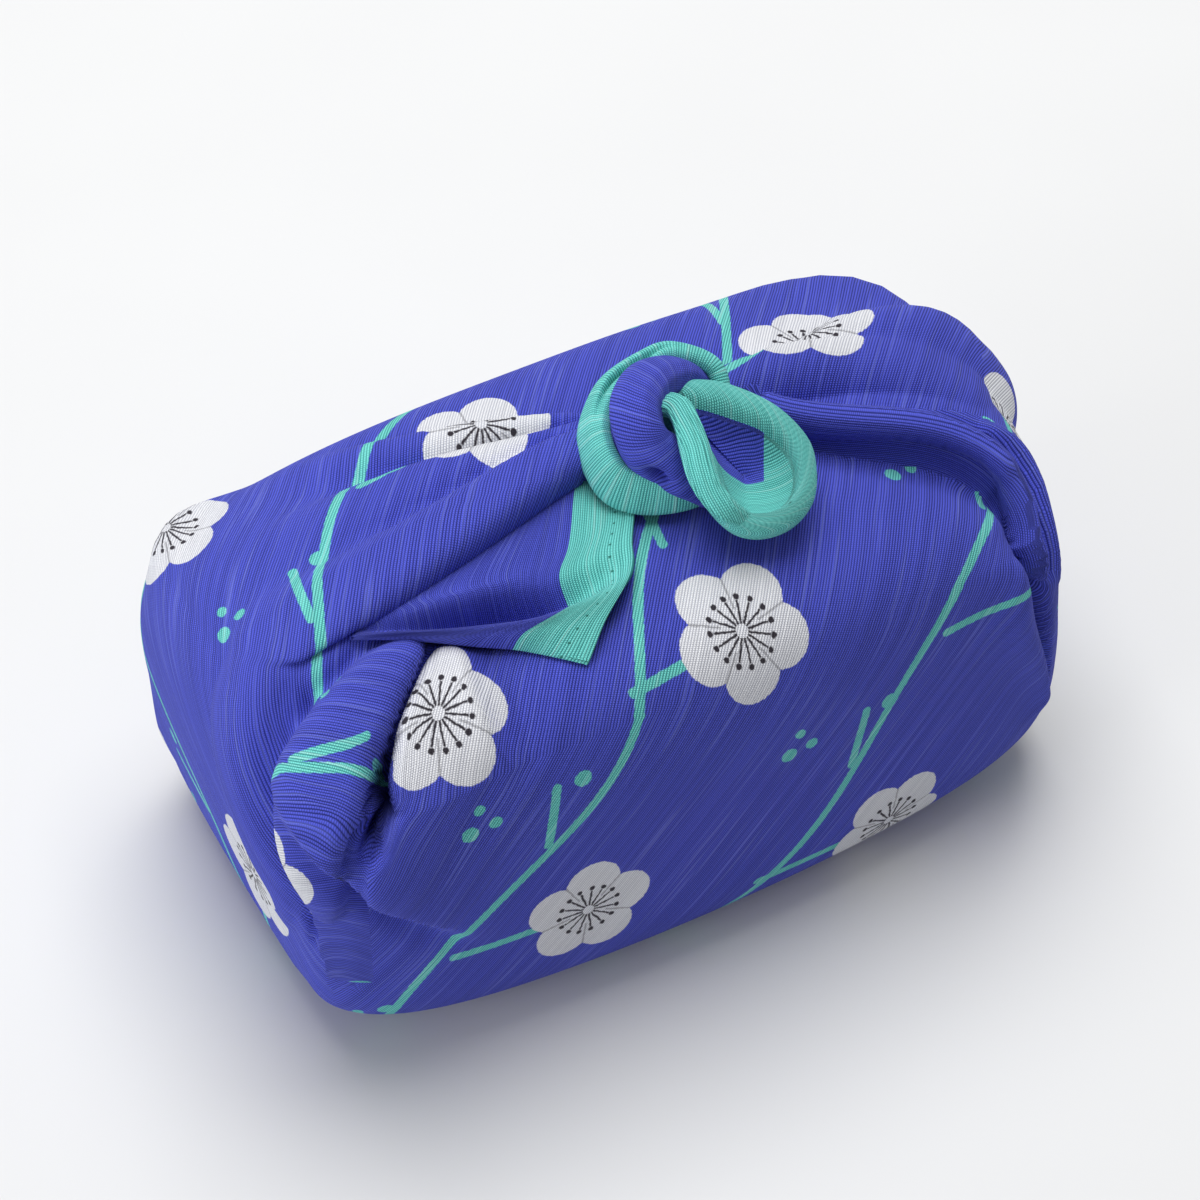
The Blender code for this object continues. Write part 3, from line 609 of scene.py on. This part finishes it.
def plum_print():
    """Half-drop repeat of five-petalled plum blossoms on thin twigs. In each cell a petal is a disc
    beside the blossom's middle, folded round five times by the remainder of the angle."""
    tree, given, made = new_group("plum blossom print", (), ("White", "Dark", "Mint"))
    plus, minus, times, over, times_plus, larger, floor, sine, size = sums(tree)
    across, along = parts_of(tree, given.outputs["Place"])
    x = over(across, CELL[0])
    column = floor(x)
    y = times_plus(column, 0.5, over(along, CELL[1]))
    row = floor(y)
    cell_x = times(minus(minus(x, column), 0.5), CELL[0])
    cell_y = times(minus(minus(y, row), 0.5), CELL[1])
    number = add_node(tree, "CombineXYZ", X=column, Y=row)
    draw = add_node(tree, "TexWhiteNoise", Vector=number.outputs[0])
    draw.noise_dimensions = "3D"
    lots = add_node(tree, "SeparateColor", Color=draw.outputs["Color"])

    def within(value, limit, soft=0.00012):
        """1 where the value is below the limit, with a narrow soft edge."""
        edges = {"From Min": limit + soft, "From Max": limit - soft}
        return add_node(tree, "MapRange", Value=value, **edges).outputs[0]

    def past(value, limit):
        """1 where the value is above the limit."""
        return within(times(value, -1.0), -limit)

    def distance(ax, ay, bx=0.0, by=0.0):
        """Distance between two points."""
        dx, dy = minus(ax, bx), minus(ay, by)
        return work(tree, "SQRT", plus(times(dx, dx), times(dy, dy)))

    def folded(far, angle, count):
        """Point at that distance and angle, turned back into one sector of so many round the middle."""
        sector = 2.0 * np.pi / count
        back = minus(work(tree, "FLOORED_MODULO", angle, sector), sector / 2)
        return times(far, work(tree, "COSINE", back)), times(far, sine(back))

    middle_x = times_plus(lots.outputs[1], BLOSSOM_X[1], BLOSSOM_X[0])
    middle_y = times_plus(lots.outputs[2], BLOSSOM_Y[1], BLOSSOM_Y[0])
    px, py = minus(cell_x, middle_x), minus(cell_y, middle_y)
    far = distance(px, py)
    angle = times_plus(lots.outputs[0], 2 * np.pi, work(tree, "ARCTAN2", py, px))
    ax, ay = folded(far, angle, 5)
    petal = within(distance(ax, ay, RADIUS * PETAL_AT), RADIUS * PETAL_SIZE)
    white = larger(petal, within(far, RADIUS * HEART_SIZE))
    gap_y = folded(far, plus(angle, np.pi / 5), 5)[1]
    between = times(within(size(gap_y), GAP_HALF), past(far, RADIUS * PETAL_GAP))
    stem_x, stem_y = folded(far, angle, STAMENS)
    stem = times(within(size(stem_y), STAMEN_HALF),
                 times(within(far, RADIUS * STAMEN_END), past(far, STAMEN_START)))
    tip = within(distance(stem_x, stem_y, RADIUS * TIP_AT), TIP_SIZE)
    dark = larger(larger(stem, tip), times(between, GAP_DARKNESS))
    put(made.inputs["White"], white)
    put(made.inputs["Dark"], times(dark, white))

    def shoot(start, end_x, end_y):
        """1 near the straight line from start to end."""
        dx, dy = minus(end_x, start[0]), minus(end_y, start[1])
        fx, fy = minus(cell_x, start[0]), minus(cell_y, start[1])
        share = over(plus(times(dx, fx), times(dy, fy)), plus(times(dx, dx), times(dy, dy)))
        share.node.use_clamp = True
        return within(distance(fx, fy, times(dx, share), times(dy, share)), SHOOT_HALF)

    sway = times(sine(times(along, TWIG_BENDS)), TWIG_SWAY)
    mint = within(size(minus(minus(cell_x, TWIG_X), sway)), TWIG_HALF)
    mint = larger(mint, shoot((TWIG_X, SHOOT_Y), middle_x, middle_y))
    mint = larger(mint, shoot((TWIG_X, BUD_SHOOT_Y), *BUD_SHOOT_END))
    for bud_x, bud_y, bud in BUDS:
        mint = larger(mint, within(distance(cell_x, cell_y, bud_x, bud_y), bud))
    put(made.inputs["Mint"], mint)
    return tree


WEAVE, PRINT = slub_weave(), plum_print()

# Colours: painted shade in the gaps between the ribs, the dye on the ribs, and the paler slub yarns
INDIGO_IN_GAP_SHADE, INDIGO = (0.006, 0.008, 0.10, 1), (0.088, 0.112, 0.70, 1)
INDIGO_PALE = (0.20, 0.24, 0.74, 1)
MINT_IN_GAP_SHADE, MINT, MINT_PALE = (0.012, 0.20, 0.19, 1), (0.20, 0.74, 0.68, 1), (0.50, 0.88, 0.83, 1)
OFF_WHITE_IN_GAP_SHADE, OFF_WHITE = (0.42, 0.43, 0.50, 1), (0.85, 0.86, 0.89, 1)
NEAR_BLACK, STITCH_HOLE = (0.030, 0.026, 0.035, 1), (0.02, 0.16, 0.13, 1)
SLUB_PALENESS, STITCH_DARKNESS, COTTON_ROUGHNESS = 0.34, 0.85, 0.86
RELIEF, RELIEF_DEPTH = 0.8, 0.00022
SHEEN = (("Sheen Weight", 0.05), ("Sheen Roughness", 0.45), ("Sheen Tint", (0.75, 0.75, 1.0, 1)),
         ("Specular IOR Level", 0.25))
HEM_WIDTH, STITCH_FROM_EDGE, STITCH_PITCH = 0.0150, 0.0046, 0.0032
STITCH_HALF, STITCH_SHARE = 0.0003, 0.16
FRAY, TEETH = 0.0005, 1300.0           # how far the print's edges fray, and teeth to the metre


def layer(tree, name):
    """Place on one of the mesh's two layers, the cloth's or the hem's."""
    node = add_node(tree, "UVMap")
    node.uv_map = name
    return node.outputs[0]


def cotton(name, printed, hemmed):
    """Cotton cloth: indigo ground, mint within the hem's width of the edge, and the print. Each goes to
    a dark painted shade in the gaps between the ribs and to a pale tone on the slub yarns; the weave
    raises the surface."""
    material, tree, shader = finish_of(name, COTTON_ROUGHNESS)
    place = layer(tree, "cloth")
    weave = add_node(tree, "Group")
    weave.node_tree = WEAVE
    for socket, value in (("Place", place), ("Rib", RIB_PITCH), ("Yarn", YARN_PITCH)):
        put(weave.inputs[socket], value)
    tone_and_shade = weave.outputs["Tone and painted shade"]
    pale = work(tree, "MULTIPLY", weave.outputs["Slub"], SLUB_PALENESS)
    # Painted shade: each colour goes dark where the weave's tone is low, in the gaps between the ribs
    colour = blend(tree, pale, blend(tree, tone_and_shade, INDIGO_IN_GAP_SHADE, INDIGO), INDIGO_PALE)
    mint = blend(tree, pale, blend(tree, tone_and_shade, MINT_IN_GAP_SHADE, MINT), MINT_PALE)
    if hemmed:
        along_hem, from_edge = parts_of(tree, layer(tree, "hem"))
        in_row = work(tree, "COMPARE", from_edge, STITCH_FROM_EDGE, STITCH_HALF)
        along = work(tree, "FRACT", work(tree, "DIVIDE", along_hem, STITCH_PITCH))
        stitch = work(tree, "MULTIPLY", in_row, work(tree, "LESS_THAN", along, STITCH_SHARE))
        mint_hem = blend(tree, work(tree, "MULTIPLY", stitch, STITCH_DARKNESS), mint, STITCH_HOLE)
        colour = blend(tree, work(tree, "LESS_THAN", from_edge, HEM_WIDTH), colour, mint_hem)
    if printed:
        teeth = cloud(tree, place, TEETH, 1.0).node.outputs["Color"]
        frayed = work(tree, "MULTIPLY_ADD", teeth, (FRAY, FRAY, 0.0), place, kind="VectorMath")
        flowers = add_node(tree, "Group")
        flowers.node_tree = PRINT
        put(flowers.inputs["Place"], frayed)
        # The print's white also takes the painted shade between the ribs
        white = blend(tree, tone_and_shade, OFF_WHITE_IN_GAP_SHADE, OFF_WHITE)
        colour = blend(tree, flowers.outputs["Mint"], colour, mint)
        colour = blend(tree, flowers.outputs["White"], colour, white)
        colour = blend(tree, flowers.outputs["Dark"], colour, NEAR_BLACK)
    put(shader.inputs["Base Color"], colour)
    height = weave.outputs["Height"]
    raised = add_node(tree, "Bump", Strength=RELIEF, Distance=RELIEF_DEPTH, Height=height)
    put(shader.inputs["Normal"], raised.outputs[0])
    for socket, value in SHEEN:
        shader.inputs[socket].default_value = value
    return material


# Panels of the cloth, parted by creases, each with its own flat chart: over the front, top and back, on
# the ends, below, and the cloth of the two rolls
TOP, END, SOLE, CORNER_ROLL, RIGHT_ROLL = range(5)
SOLE_TO, ROLLS_FROM = 0.20, 0.40       # shares of the way up the section
CORNER_ROLL_TO, SLIT_TURNS_AT, RIGHT_ROLL_FROM = -40.0, -72.0, 34.0        # mm along the flat plan
RIGHT_ROLL_BACK, RIGHT_ROLL_TURNS_AT = 2.0, -42.0      # mm across it
CORNER_ROLL_TURN, THREAD_TURN = 87.0, 40.0             # degrees
RIGHT_END_SHIFT, PRINT_SHIFT = 0.040, np.array([-0.0048, -0.0067])
CREST_FALL, PLAIN_BESIDE = 2.5, 12.5   # mm: most that counts past the crest; unprinted by the crease


def panel_of(w, v):
    """Which panel of the cloth each point belongs to, by its side of the creases."""
    x, y, down, nx, ny = plan_parts(w, v)
    flat_x, flat_y = plan_mm(w, v)

    def left_of(name):
        """How far each point lies on the left of that way."""
        return beside(WAYS[name], flat_x, flat_y)[1]

    by_corner, right_end = left_of("beside the corner roll"), left_of("end valley") > 0
    end = np.where((x < 0) & (y < 0), by_corner < 0,
                   np.where((x > 0) & (y < 0), right_end, np.abs(nx) > np.abs(ny)))
    panel = np.where(v < SOLE_TO, SOLE, np.where(end & (down > 0.0), END, TOP))
    slit = np.where(flat_x > SLIT_TURNS_AT, left_of("slit"), left_of("mouth of the slit"))
    corner_roll = (flat_x < CORNER_ROLL_TO) & (by_corner > 0) & (slit < 0)
    corner_roll &= (left_of("under the front roll") < 0) & (v > ROLLS_FROM)
    right_roll = (flat_x > RIGHT_ROLL_FROM) & (flat_y < RIGHT_ROLL_BACK) & (v > ROLLS_FROM)
    right_roll &= (left_of("under the right roll") > 0) & (left_of("top of the right roll") < 0)
    right_roll &= (flat_y > RIGHT_ROLL_TURNS_AT) | right_end
    return np.where(corner_roll, CORNER_ROLL, np.where(right_roll, RIGHT_ROLL, panel))


def turned(places, angle):
    """Places turned by an angle in degrees: x times its cosine less y times its sine, and so on."""
    a = np.radians(angle)
    x, y = places[..., 0], places[..., 1]
    return np.stack([x * np.cos(a) - y * np.sin(a), x * np.sin(a) + y * np.cos(a)], -1)


def roll_places(w, v):
    """Cloth coordinates on the right roll: across is the distance from its crest line and, on both
    sides, the fall below the crest; along is the length along the roll."""
    way, rises = [fold[1:3] for fold in PLEATS if fold[0] == "right roll"][0]
    flat_x, flat_y = plan_mm(w, v)
    off, turn, share, _, _ = beside(way, flat_x, flat_y)
    fall = np.maximum(height_along(share, *rises) - fold_shift(flat_x, flat_y)[0], 0.0)
    fall = np.where(turn > 0, np.minimum(fall, CREST_FALL), fall)
    length = np.linalg.norm(np.diff(way_through(way)[1], axis=0), axis=1).sum()
    return np.stack([-turn * (off + fall), share * length], -1) * MM


def body_charts(w, v, points, panel):
    """Cloth coordinates of the whole grid, once for each panel: the flat charts are eased, and turned
    so that the ribs of the weave run along the second coordinate."""
    x, y, down, nx, ny = plan_parts(w, v)
    charts = [
        np.stack([x, y + np.sign(ny) * down], -1),
        np.stack([x + np.sign(nx) * down, y - RIGHT_END_SHIFT * (x > 0)], -1),
        points[..., :2] * np.array([1.0, -1.0]),
        turned(flat_plan(w, v), CORNER_ROLL_TURN),
    ]
    eased = cloth_places(points, charts, panel)
    return [*(turned(chart, THREAD_TURN) + PRINT_SHIFT for chart in eased), roll_places(w, v)]


def wrapped_body():
    """The body's grid, closed to a point below and to one under the knot. Cloth that lies plain on the
    right roll, and on the end close beside it, is left unprinted."""
    w, v = np.meshgrid(spread(COLUMNS), spread(ROWS)[1:])
    points, panel = wrapped(w, v), panel_of(w, v)
    charts = body_charts(w, v, points, panel)
    to_crease = beside(WAYS["end crease"], *plan_mm(w, v))[0]
    unprinted = (panel == RIGHT_ROLL) | ((panel == END) & (to_crease < PLAIN_BESIDE))
    quads = grid_faces(*w.shape, True)
    cloth = np.zeros((len(quads), 4, 2))
    for k, chart in enumerate(charts):
        here = (panel.reshape(-1)[quads[:, 0]] == k)[:, None, None]
        cloth = np.where(here, chart.reshape(-1, 2)[quads], cloth)
    low, top = charts[SOLE][0], charts[TOP][-1]
    cap_low = np.stack([np.broadcast_to(low.mean(0), low.shape), np.roll(low, -1, 0), low], 1)
    cap_top = np.stack([np.broadcast_to(top.mean(0), top.shape), top, np.roll(top, -1, 0)], 1)
    piece = cloth_piece("wrapped_body", *closed_grid(points), [cloth, cap_low, cap_top])
    thicken(piece, CLOTH_THICKNESS)
    piece.data.materials.append(cotton("printed indigo cotton", True, False))
    piece.data.materials.append(cotton("plain indigo cotton", False, False))
    plain = np.zeros(len(piece.data.polygons), int)
    plain[:len(quads)] = unprinted.reshape(-1)[quads[:, 0]]
    piece.data.polygons.foreach_set("material_index", plain)
    return piece


body_piece = wrapped_body()


# The flap.
# The front corner of the square, laid back over the top before the roll in front of the knot. Its
# lower edge is turned under in a soft roll, and its right edge is the cloth's own stitched mint hem.

# Lines along the flap, in mm on the flat plan: x, y and rise at six stations from left to right
FLAP = (
    # turned under
    ((-62.5, -15.5, 0.2), (-52.6, -20.7, 0.2), (-43.1, -27.3, 0.2),
     (-36.8, -30.8, 0.2), (-32.3, -33.8, 0.2), (-25.9, -37.5, 0.3)),
    # lower edge
    ((-64, -16, 0.5), (-54.6, -22.4, 1.2), (-44.7, -28.8, 1),
     (-38.4, -32.5, 0.9), (-33.8, -35.7, 0.9), (-27.6, -40.1, 0.9)),
    # front of the lip
    ((-63.4, -16.1, 0.9), (-55.1, -22, 3), (-44.9, -28.2, 4.4),
     (-37, -31.8, 5), (-29.3, -33.6, 4.8), (-20.6, -35, 3.4)),
    # crest of the lip
    ((-62.8, -15.6, 1.1), (-55, -21.3, 3.8), (-44.4, -26.5, 5),
     (-34.4, -30.6, 5.8), (-24.5, -31.1, 5.6), (-12.5, -29.8, 4.2)),
    # bottom of the hollow behind it
    ((-61.6, -14.4, 0.6), (-54, -18.6, -1.5), (-42.8, -22.3, -6.2),
     (-32.8, -25, -7.4), (-23.5, -26.8, -2.4), (-8.2, -25.1, 3)),
    # brink of the hollow
    ((-60.4, -13, 0.8), (-51.8, -15.8, 1), (-41.5, -18.2, 1.2),
     (-31.7, -20.3, 1.2), (-22.1, -22.1, 1.9), (-5.4, -20.5, 2.9)),
    # flat
    ((-59.5, -11.5, 0.9), (-50.3, -12.5, 1.4), (-40.1, -14.5, 1.8),
     (-28.5, -15.4, 2), (-15.8, -15.6, 2), (-0.1, -12.9, 2.2)),
    # hidden end
    ((-57, -7, 1.2), (-45, -4, 2), (-32, -3, 2),
     (-19, -2, 2), (-9, -1, 2), (4.2, -5.5, 1.8)),
)
FLAP_GRID, FLAP_THICKNESS = (90, 90), 0.0008
# Where the mint hem's inner edge crosses each of these lines, counted in stations from the left
HEM_FROM = (2.95, 2.93, 3.2, 3.87, 4.0, 3.98, 3.97, 4.22)


def through(rows, count, closed=False):
    """Cubic stretches between neighbouring rows, each leaving a row along the line between its
    neighbours, sampled evenly."""
    p = np.array(rows, float)
    m = len(p)
    if closed:
        q, u, last = np.concatenate([p[-1:], p, p[:2]]), np.arange(count) / count * m, m - 1
    else:
        q = np.concatenate([[2 * p[0] - p[1]], p, [2 * p[-1] - p[-2]]])
        u, last = np.linspace(0, m - 1, count), m - 2
    k = np.minimum(u.astype(int), last)
    t = (u - k)[:, None]
    a, b, c, d = q[k], q[k + 1], q[k + 2], q[k + 3]
    square, cube = 2 * a - 5 * b + 4 * c - d, 3 * b - a - 3 * c + d
    return 0.5 * (2 * b + (c - a) * t + square * t ** 2 + cube * t ** 3)


def flap():
    """Smooth lines through the stations, set on the top by their rise above the plain body."""
    along, across = FLAP_GRID
    lines = [through(line, along) for line in FLAP]
    grid = np.stack([through([line[i] for line in lines], across) for i in range(along)])
    w, v = on_top(grid[..., 0] * MM, grid[..., 1] * MM)
    points = body(w, v) + slopes(w, v)[2] * grid[..., 2:3] * MM
    last = len(FLAP[0]) - 1.0
    station = np.linspace(0.0, last, along)[:, None]
    border = through([(value,) for value in HEM_FROM], across)[:, 0][None]
    edge = HEM_WIDTH * (last - station) / (last - border)
    lengthwise = way_along(points, 1)
    cloth = np.stack([edge + 0 * lengthwise, lengthwise], -1).reshape(-1, 2)
    hem = np.stack([lengthwise, edge + 0 * lengthwise], -1).reshape(-1, 2)
    quads = grid_faces(along, across, False)[:, ::-1]
    piece = cloth_piece("flap", points.reshape(-1, 3), quads, [cloth[quads]], [hem[quads]])
    thicken(piece, FLAP_THICKNESS)
    piece.data.materials.append(cotton("hemmed indigo cotton", False, True))
    return piece


flap_piece = flap()


# The knot.
# The left corner of the square goes round as a folded band with its mint hem outside; the right
# corner turns over it, and the tied tip comes out again and stands open as an ear.

# Middle lines of the straps, in mm: x, y, z, width and thickness
BAND = (
    (27, -3, 100, 6, 4), (27.5, 3, 105, 7, 4.5), (21, 8.5, 107, 8, 5.5),
    (15, 9, 106.5, 8.5, 6), (7, 8, 105, 9, 5.8), (1.5, 4.5, 103, 9.5, 5.2),
    (-2, 0, 101.5, 9.8, 4.6), (-3.6, -6, 99.9, 9.8, 4.4), (-2.9, -11.4, 98.3, 10, 4.4),
    (1.6, -15.8, 97.2, 9.4, 4.2), (8.4, -18.9, 96.2, 7, 4), (16, -19, 95.2, 5, 3.5),
)
TURN = (
    (23, 4, 102, 10, 6), (18, 3.4, 107, 11, 7.5), (11.8, 1.2, 109.3, 11.5, 8.5),
    (6.2, -3.4, 109.6, 11, 9), (3.9, -7.9, 108.2, 10.5, 9), (4.4, -11.6, 105, 11, 8.5),
    (8.2, -14.8, 101, 12, 8), (13, -17, 97.5, 12, 7.5), (17, -19, 94.5, 10, 6),
)
STRAND = (
    (8, -4.5, 105, 5, 3), (10.6, -5, 108.6, 5.6, 3.6), (12.7, -8.5, 110, 5.2, 4),
    (12.3, -13.5, 109.4, 5.4, 4.2), (10.8, -19, 108.2, 5.9, 4.4), (9.4, -24, 106.8, 5.8, 4.4),
    (9.2, -28.5, 105, 5.4, 4.2), (10.6, -32.4, 103, 4.8, 3.8), (14.6, -34.4, 99.6, 3, 2.5),
)
# Points that the straps' faces are turned away from, and how boxy their section is
BAND_AXIS, TURN_AXIS, STRAND_AXIS = (11, -7, 92), (10, -8, 88), (18, -18, 90)
STRAP_POWER = 2.6

# Crest line of the ear, in mm: x, y, z and the rim's width
EAR = (
    (13.5, -6, 106.5, 4), (13.5, -10.5, 107, 4.5), (13, -18, 106, 5), (11.5, -24, 105, 5),
    (11.3, -29, 103.5, 4.5), (13, -33.5, 102, 4.2), (17, -36, 101.2, 4),
    (22.5, -36.6, 101.5, 3.8), (28, -34, 102.5, 3.8), (31.6, -28.5, 104, 4),
    (33, -22.5, 105, 5), (31, -15.5, 107, 6.2), (27, -10, 108.5, 7.2), (22, -4.5, 109, 7),
    (16.5, -1.8, 108.5, 5.5),
)
EAR_MIDDLE = (22, -20.5, 96)
# Section of the rim: share of its width outward, and drop in mm, from inside over the crest to below
EAR_RIM = (
    (-0.62, -3.6), (-0.52, -2.2), (-0.38, -1), (-0.20, -0.25), (0, 0), (0.22, -0.4), (0.42, -1.6),
    (0.52, -3.4), (0.48, -5.4), (0.30, -7.2), (0, -8.4),
)
ALONG_EAR, OVER_HOLLOW, OVER_RIM = 140, 20, 34     # points along the ear, and rings across it
EAR_DEPTH, DISH, FULL_WIDTH = 3.5, 1.6, 7.0        # mm: to its foot, sag of the hollow, widest rim
OPENING_TURN, FLOOR_STRETCH = 28.8, 1.15           # degrees that bring the opening to the front
GROUND_RIGHT, GROUND_LOW = 33.0, -9.5              # mm: the hollow is blue up to these, then mint
RIM_STEP, LEAST_DROP = 0.6, 0.45       # mm between rings on the rim; share of the drop where it is thin
FAR_FROM_HEM, TURN_SLANT = 1.0, 0.4    # the turn shows no hem, and its ribs run aslant


def capped(values):
    """A grid's values for each corner of its faces, then for the fans on its first and last row,
    whose middle has the mean of the two others."""
    low, top = values[0], values[-1]
    first = np.stack([(low[1:] + low[:-1]) / 2, low[1:], low[:-1]], 1)
    final = np.stack([(top[1:] + top[:-1]) / 2, top[:-1], top[1:]], 1)
    return [values.reshape(-1, 2)[grid_faces(*values.shape[:2], False)], first, final]


MINT_COTTON = cotton("mint hem cotton", False, True)


def closed_tube(name, rings, hem, cloth_of=None):
    """Tube through rings of points, each end drawn to its middle. Cloth coordinates are the lengths
    along the tube and round it, unless cloth_of gives others on the same grid; hem is the distance
    from the hem's edge."""
    looped = np.concatenate([rings, rings[:, :1]], 1) * MM
    along = way_along(looped, 0).mean(1, keepdims=True) + np.zeros(looped.shape[:2])
    round_it = way_along(looped, 1)
    cloth = np.stack([along, round_it], -1) if cloth_of is None else cloth_of(looped, along, round_it)
    points, faces = closed_grid(rings)
    hem = np.stack([along, hem + 0 * along], -1)
    piece = cloth_piece(name, points * MM, faces, capped(cloth), capped(hem))
    piece.data.materials.append(MINT_COTTON)
    return piece


def strap_rings(rows, axis, count, sides, shaped):
    """Folded strap: round the middle line a rounded square of its width and thickness, its face turned
    away from the axis point, each point drawn in or out by the shaped share."""
    line = through(rows, count)
    middle, half_width, half_thick = line[:, :3], line[:, 3:4] / 2, line[:, 4:5] / 2
    ahead = unit(np.gradient(middle, axis=0))
    face = middle - np.array(axis, float)
    face = unit(face - ahead * (face * ahead).sum(1, keepdims=True))
    side = np.cross(ahead, face)
    angle = np.arange(sides) * 2.0 * np.pi / sides
    c, s = rounded(angle, STRAP_POWER)
    wide = side[:, None] * c[None, :, None] * half_width[:, None]
    thick = face[:, None] * s[None, :, None] * half_thick[:, None]
    share = np.linspace(0, 1, count)[:, None]
    return (middle[:, None] + (wide + thick) * shaped(share, angle[None])[..., None])[:, ::-1]


def bell(value, middle, width):
    """e to the minus square of the distance from the middle over the width."""
    return np.exp(-((value - middle) / width) ** 2)


def band_folds(share, angle):
    """The band is folded cloth: behind the turn a groove opens between its two lips."""
    groove = 0.75 * bell(angle, 2.5, 0.33) * bell(share, 0.33, 0.13)
    return 1 - groove + 0.012 * np.sin(8 * angle + 9 * share)


def turn_folds(share, angle):
    """Shallow drawn folds over the turn, and the dimple at its foot."""
    dimple = 0.62 * bell(angle, 0.60, 0.36) * bell(share, 0.70, 0.045)
    return 1 + 0.012 * np.sin(9 * angle + 5 * share) - dimple


def strand_folds(share, angle):
    """The strand is drawn together into fine folds that run along it."""
    return 1 + 0.05 * np.sin(11 * angle + 5 * share) + 0.03 * np.sin(17 * angle - 8 * share)


def ear_rings():
    """The ear: the rim's section set across its closed line, its inside carried on to the middle of
    the hollow and its outside to a point below."""
    line = through(EAR, ALONG_EAR, closed=True)
    crest, width = line[:, :3], line[:, 3:4]
    middle = np.array(EAR_MIDDLE, float)
    ahead = np.roll(crest, -1, 0) - np.roll(crest, 1, 0)
    outward = unit(np.stack([-ahead[:, 1], ahead[:, 0], 0.0 * ahead[:, 0]], -1))
    outward *= np.sign(((crest - middle)[:, :2] * outward[:, :2]).sum(1))[:, None]
    up = np.array([0.0, 0.0, 1.0])
    below = middle - up * EAR_DEPTH
    deep = LEAST_DROP + (1 - LEAST_DROP) * width / FULL_WIDTH
    rim = [crest + outward * width * out + up * drop * deep for out, drop in through(EAR_RIM, OVER_RIM)]
    inside = [rim[0] * (1 - t) + middle * t - up * DISH * np.sin(np.pi * t) * (1 - t)
              for t in np.linspace(0.95, 0.05, OVER_HOLLOW)]
    under = [rim[-1] * (1 - t) + below * t for t in (0.25, 0.5, 0.75)]
    return np.stack(inside + rim + under)[:, ::-1]


def ear_cloth(looped, along, round_it):
    """Ribs run straight over the hollow's floor and across the rim."""
    hollow = (np.arange(len(looped)) < OVER_HOLLOW)[:, None, None]
    floor = turned(looped, OPENING_TURN)[..., ::-1] * FLOOR_STRETCH
    return np.where(hollow, floor, np.stack([round_it, along], -1))


closed_tube("knot_band", strap_rings(BAND, BAND_AXIS, 160, 80, band_folds), 0.0)
closed_tube("knot_turn", strap_rings(TURN, TURN_AXIS, 110, 90, turn_folds), FAR_FROM_HEM,
            lambda looped, along, round_it: np.stack([along + TURN_SLANT * round_it, round_it], -1))
closed_tube("ear_strand", strap_rings(STRAND, STRAND_AXIS, 110, 90, strand_folds), 0.0,
            lambda looped, along, round_it: np.stack([round_it, along], -1))
ear = ear_rings()
across, upward = np.moveaxis(turned(np.concatenate([ear, ear[:, :1]], 1), OPENING_TURN), -1, 0)
onto_rim = (np.arange(len(ear))[:, None] - OVER_HOLLOW - 0.5) * RIM_STEP
beyond = np.maximum(np.maximum(across - GROUND_RIGHT, GROUND_LOW - upward), onto_rim)
closed_tube("ear", ear, HEM_WIDTH - beyond * MM, ear_cloth)
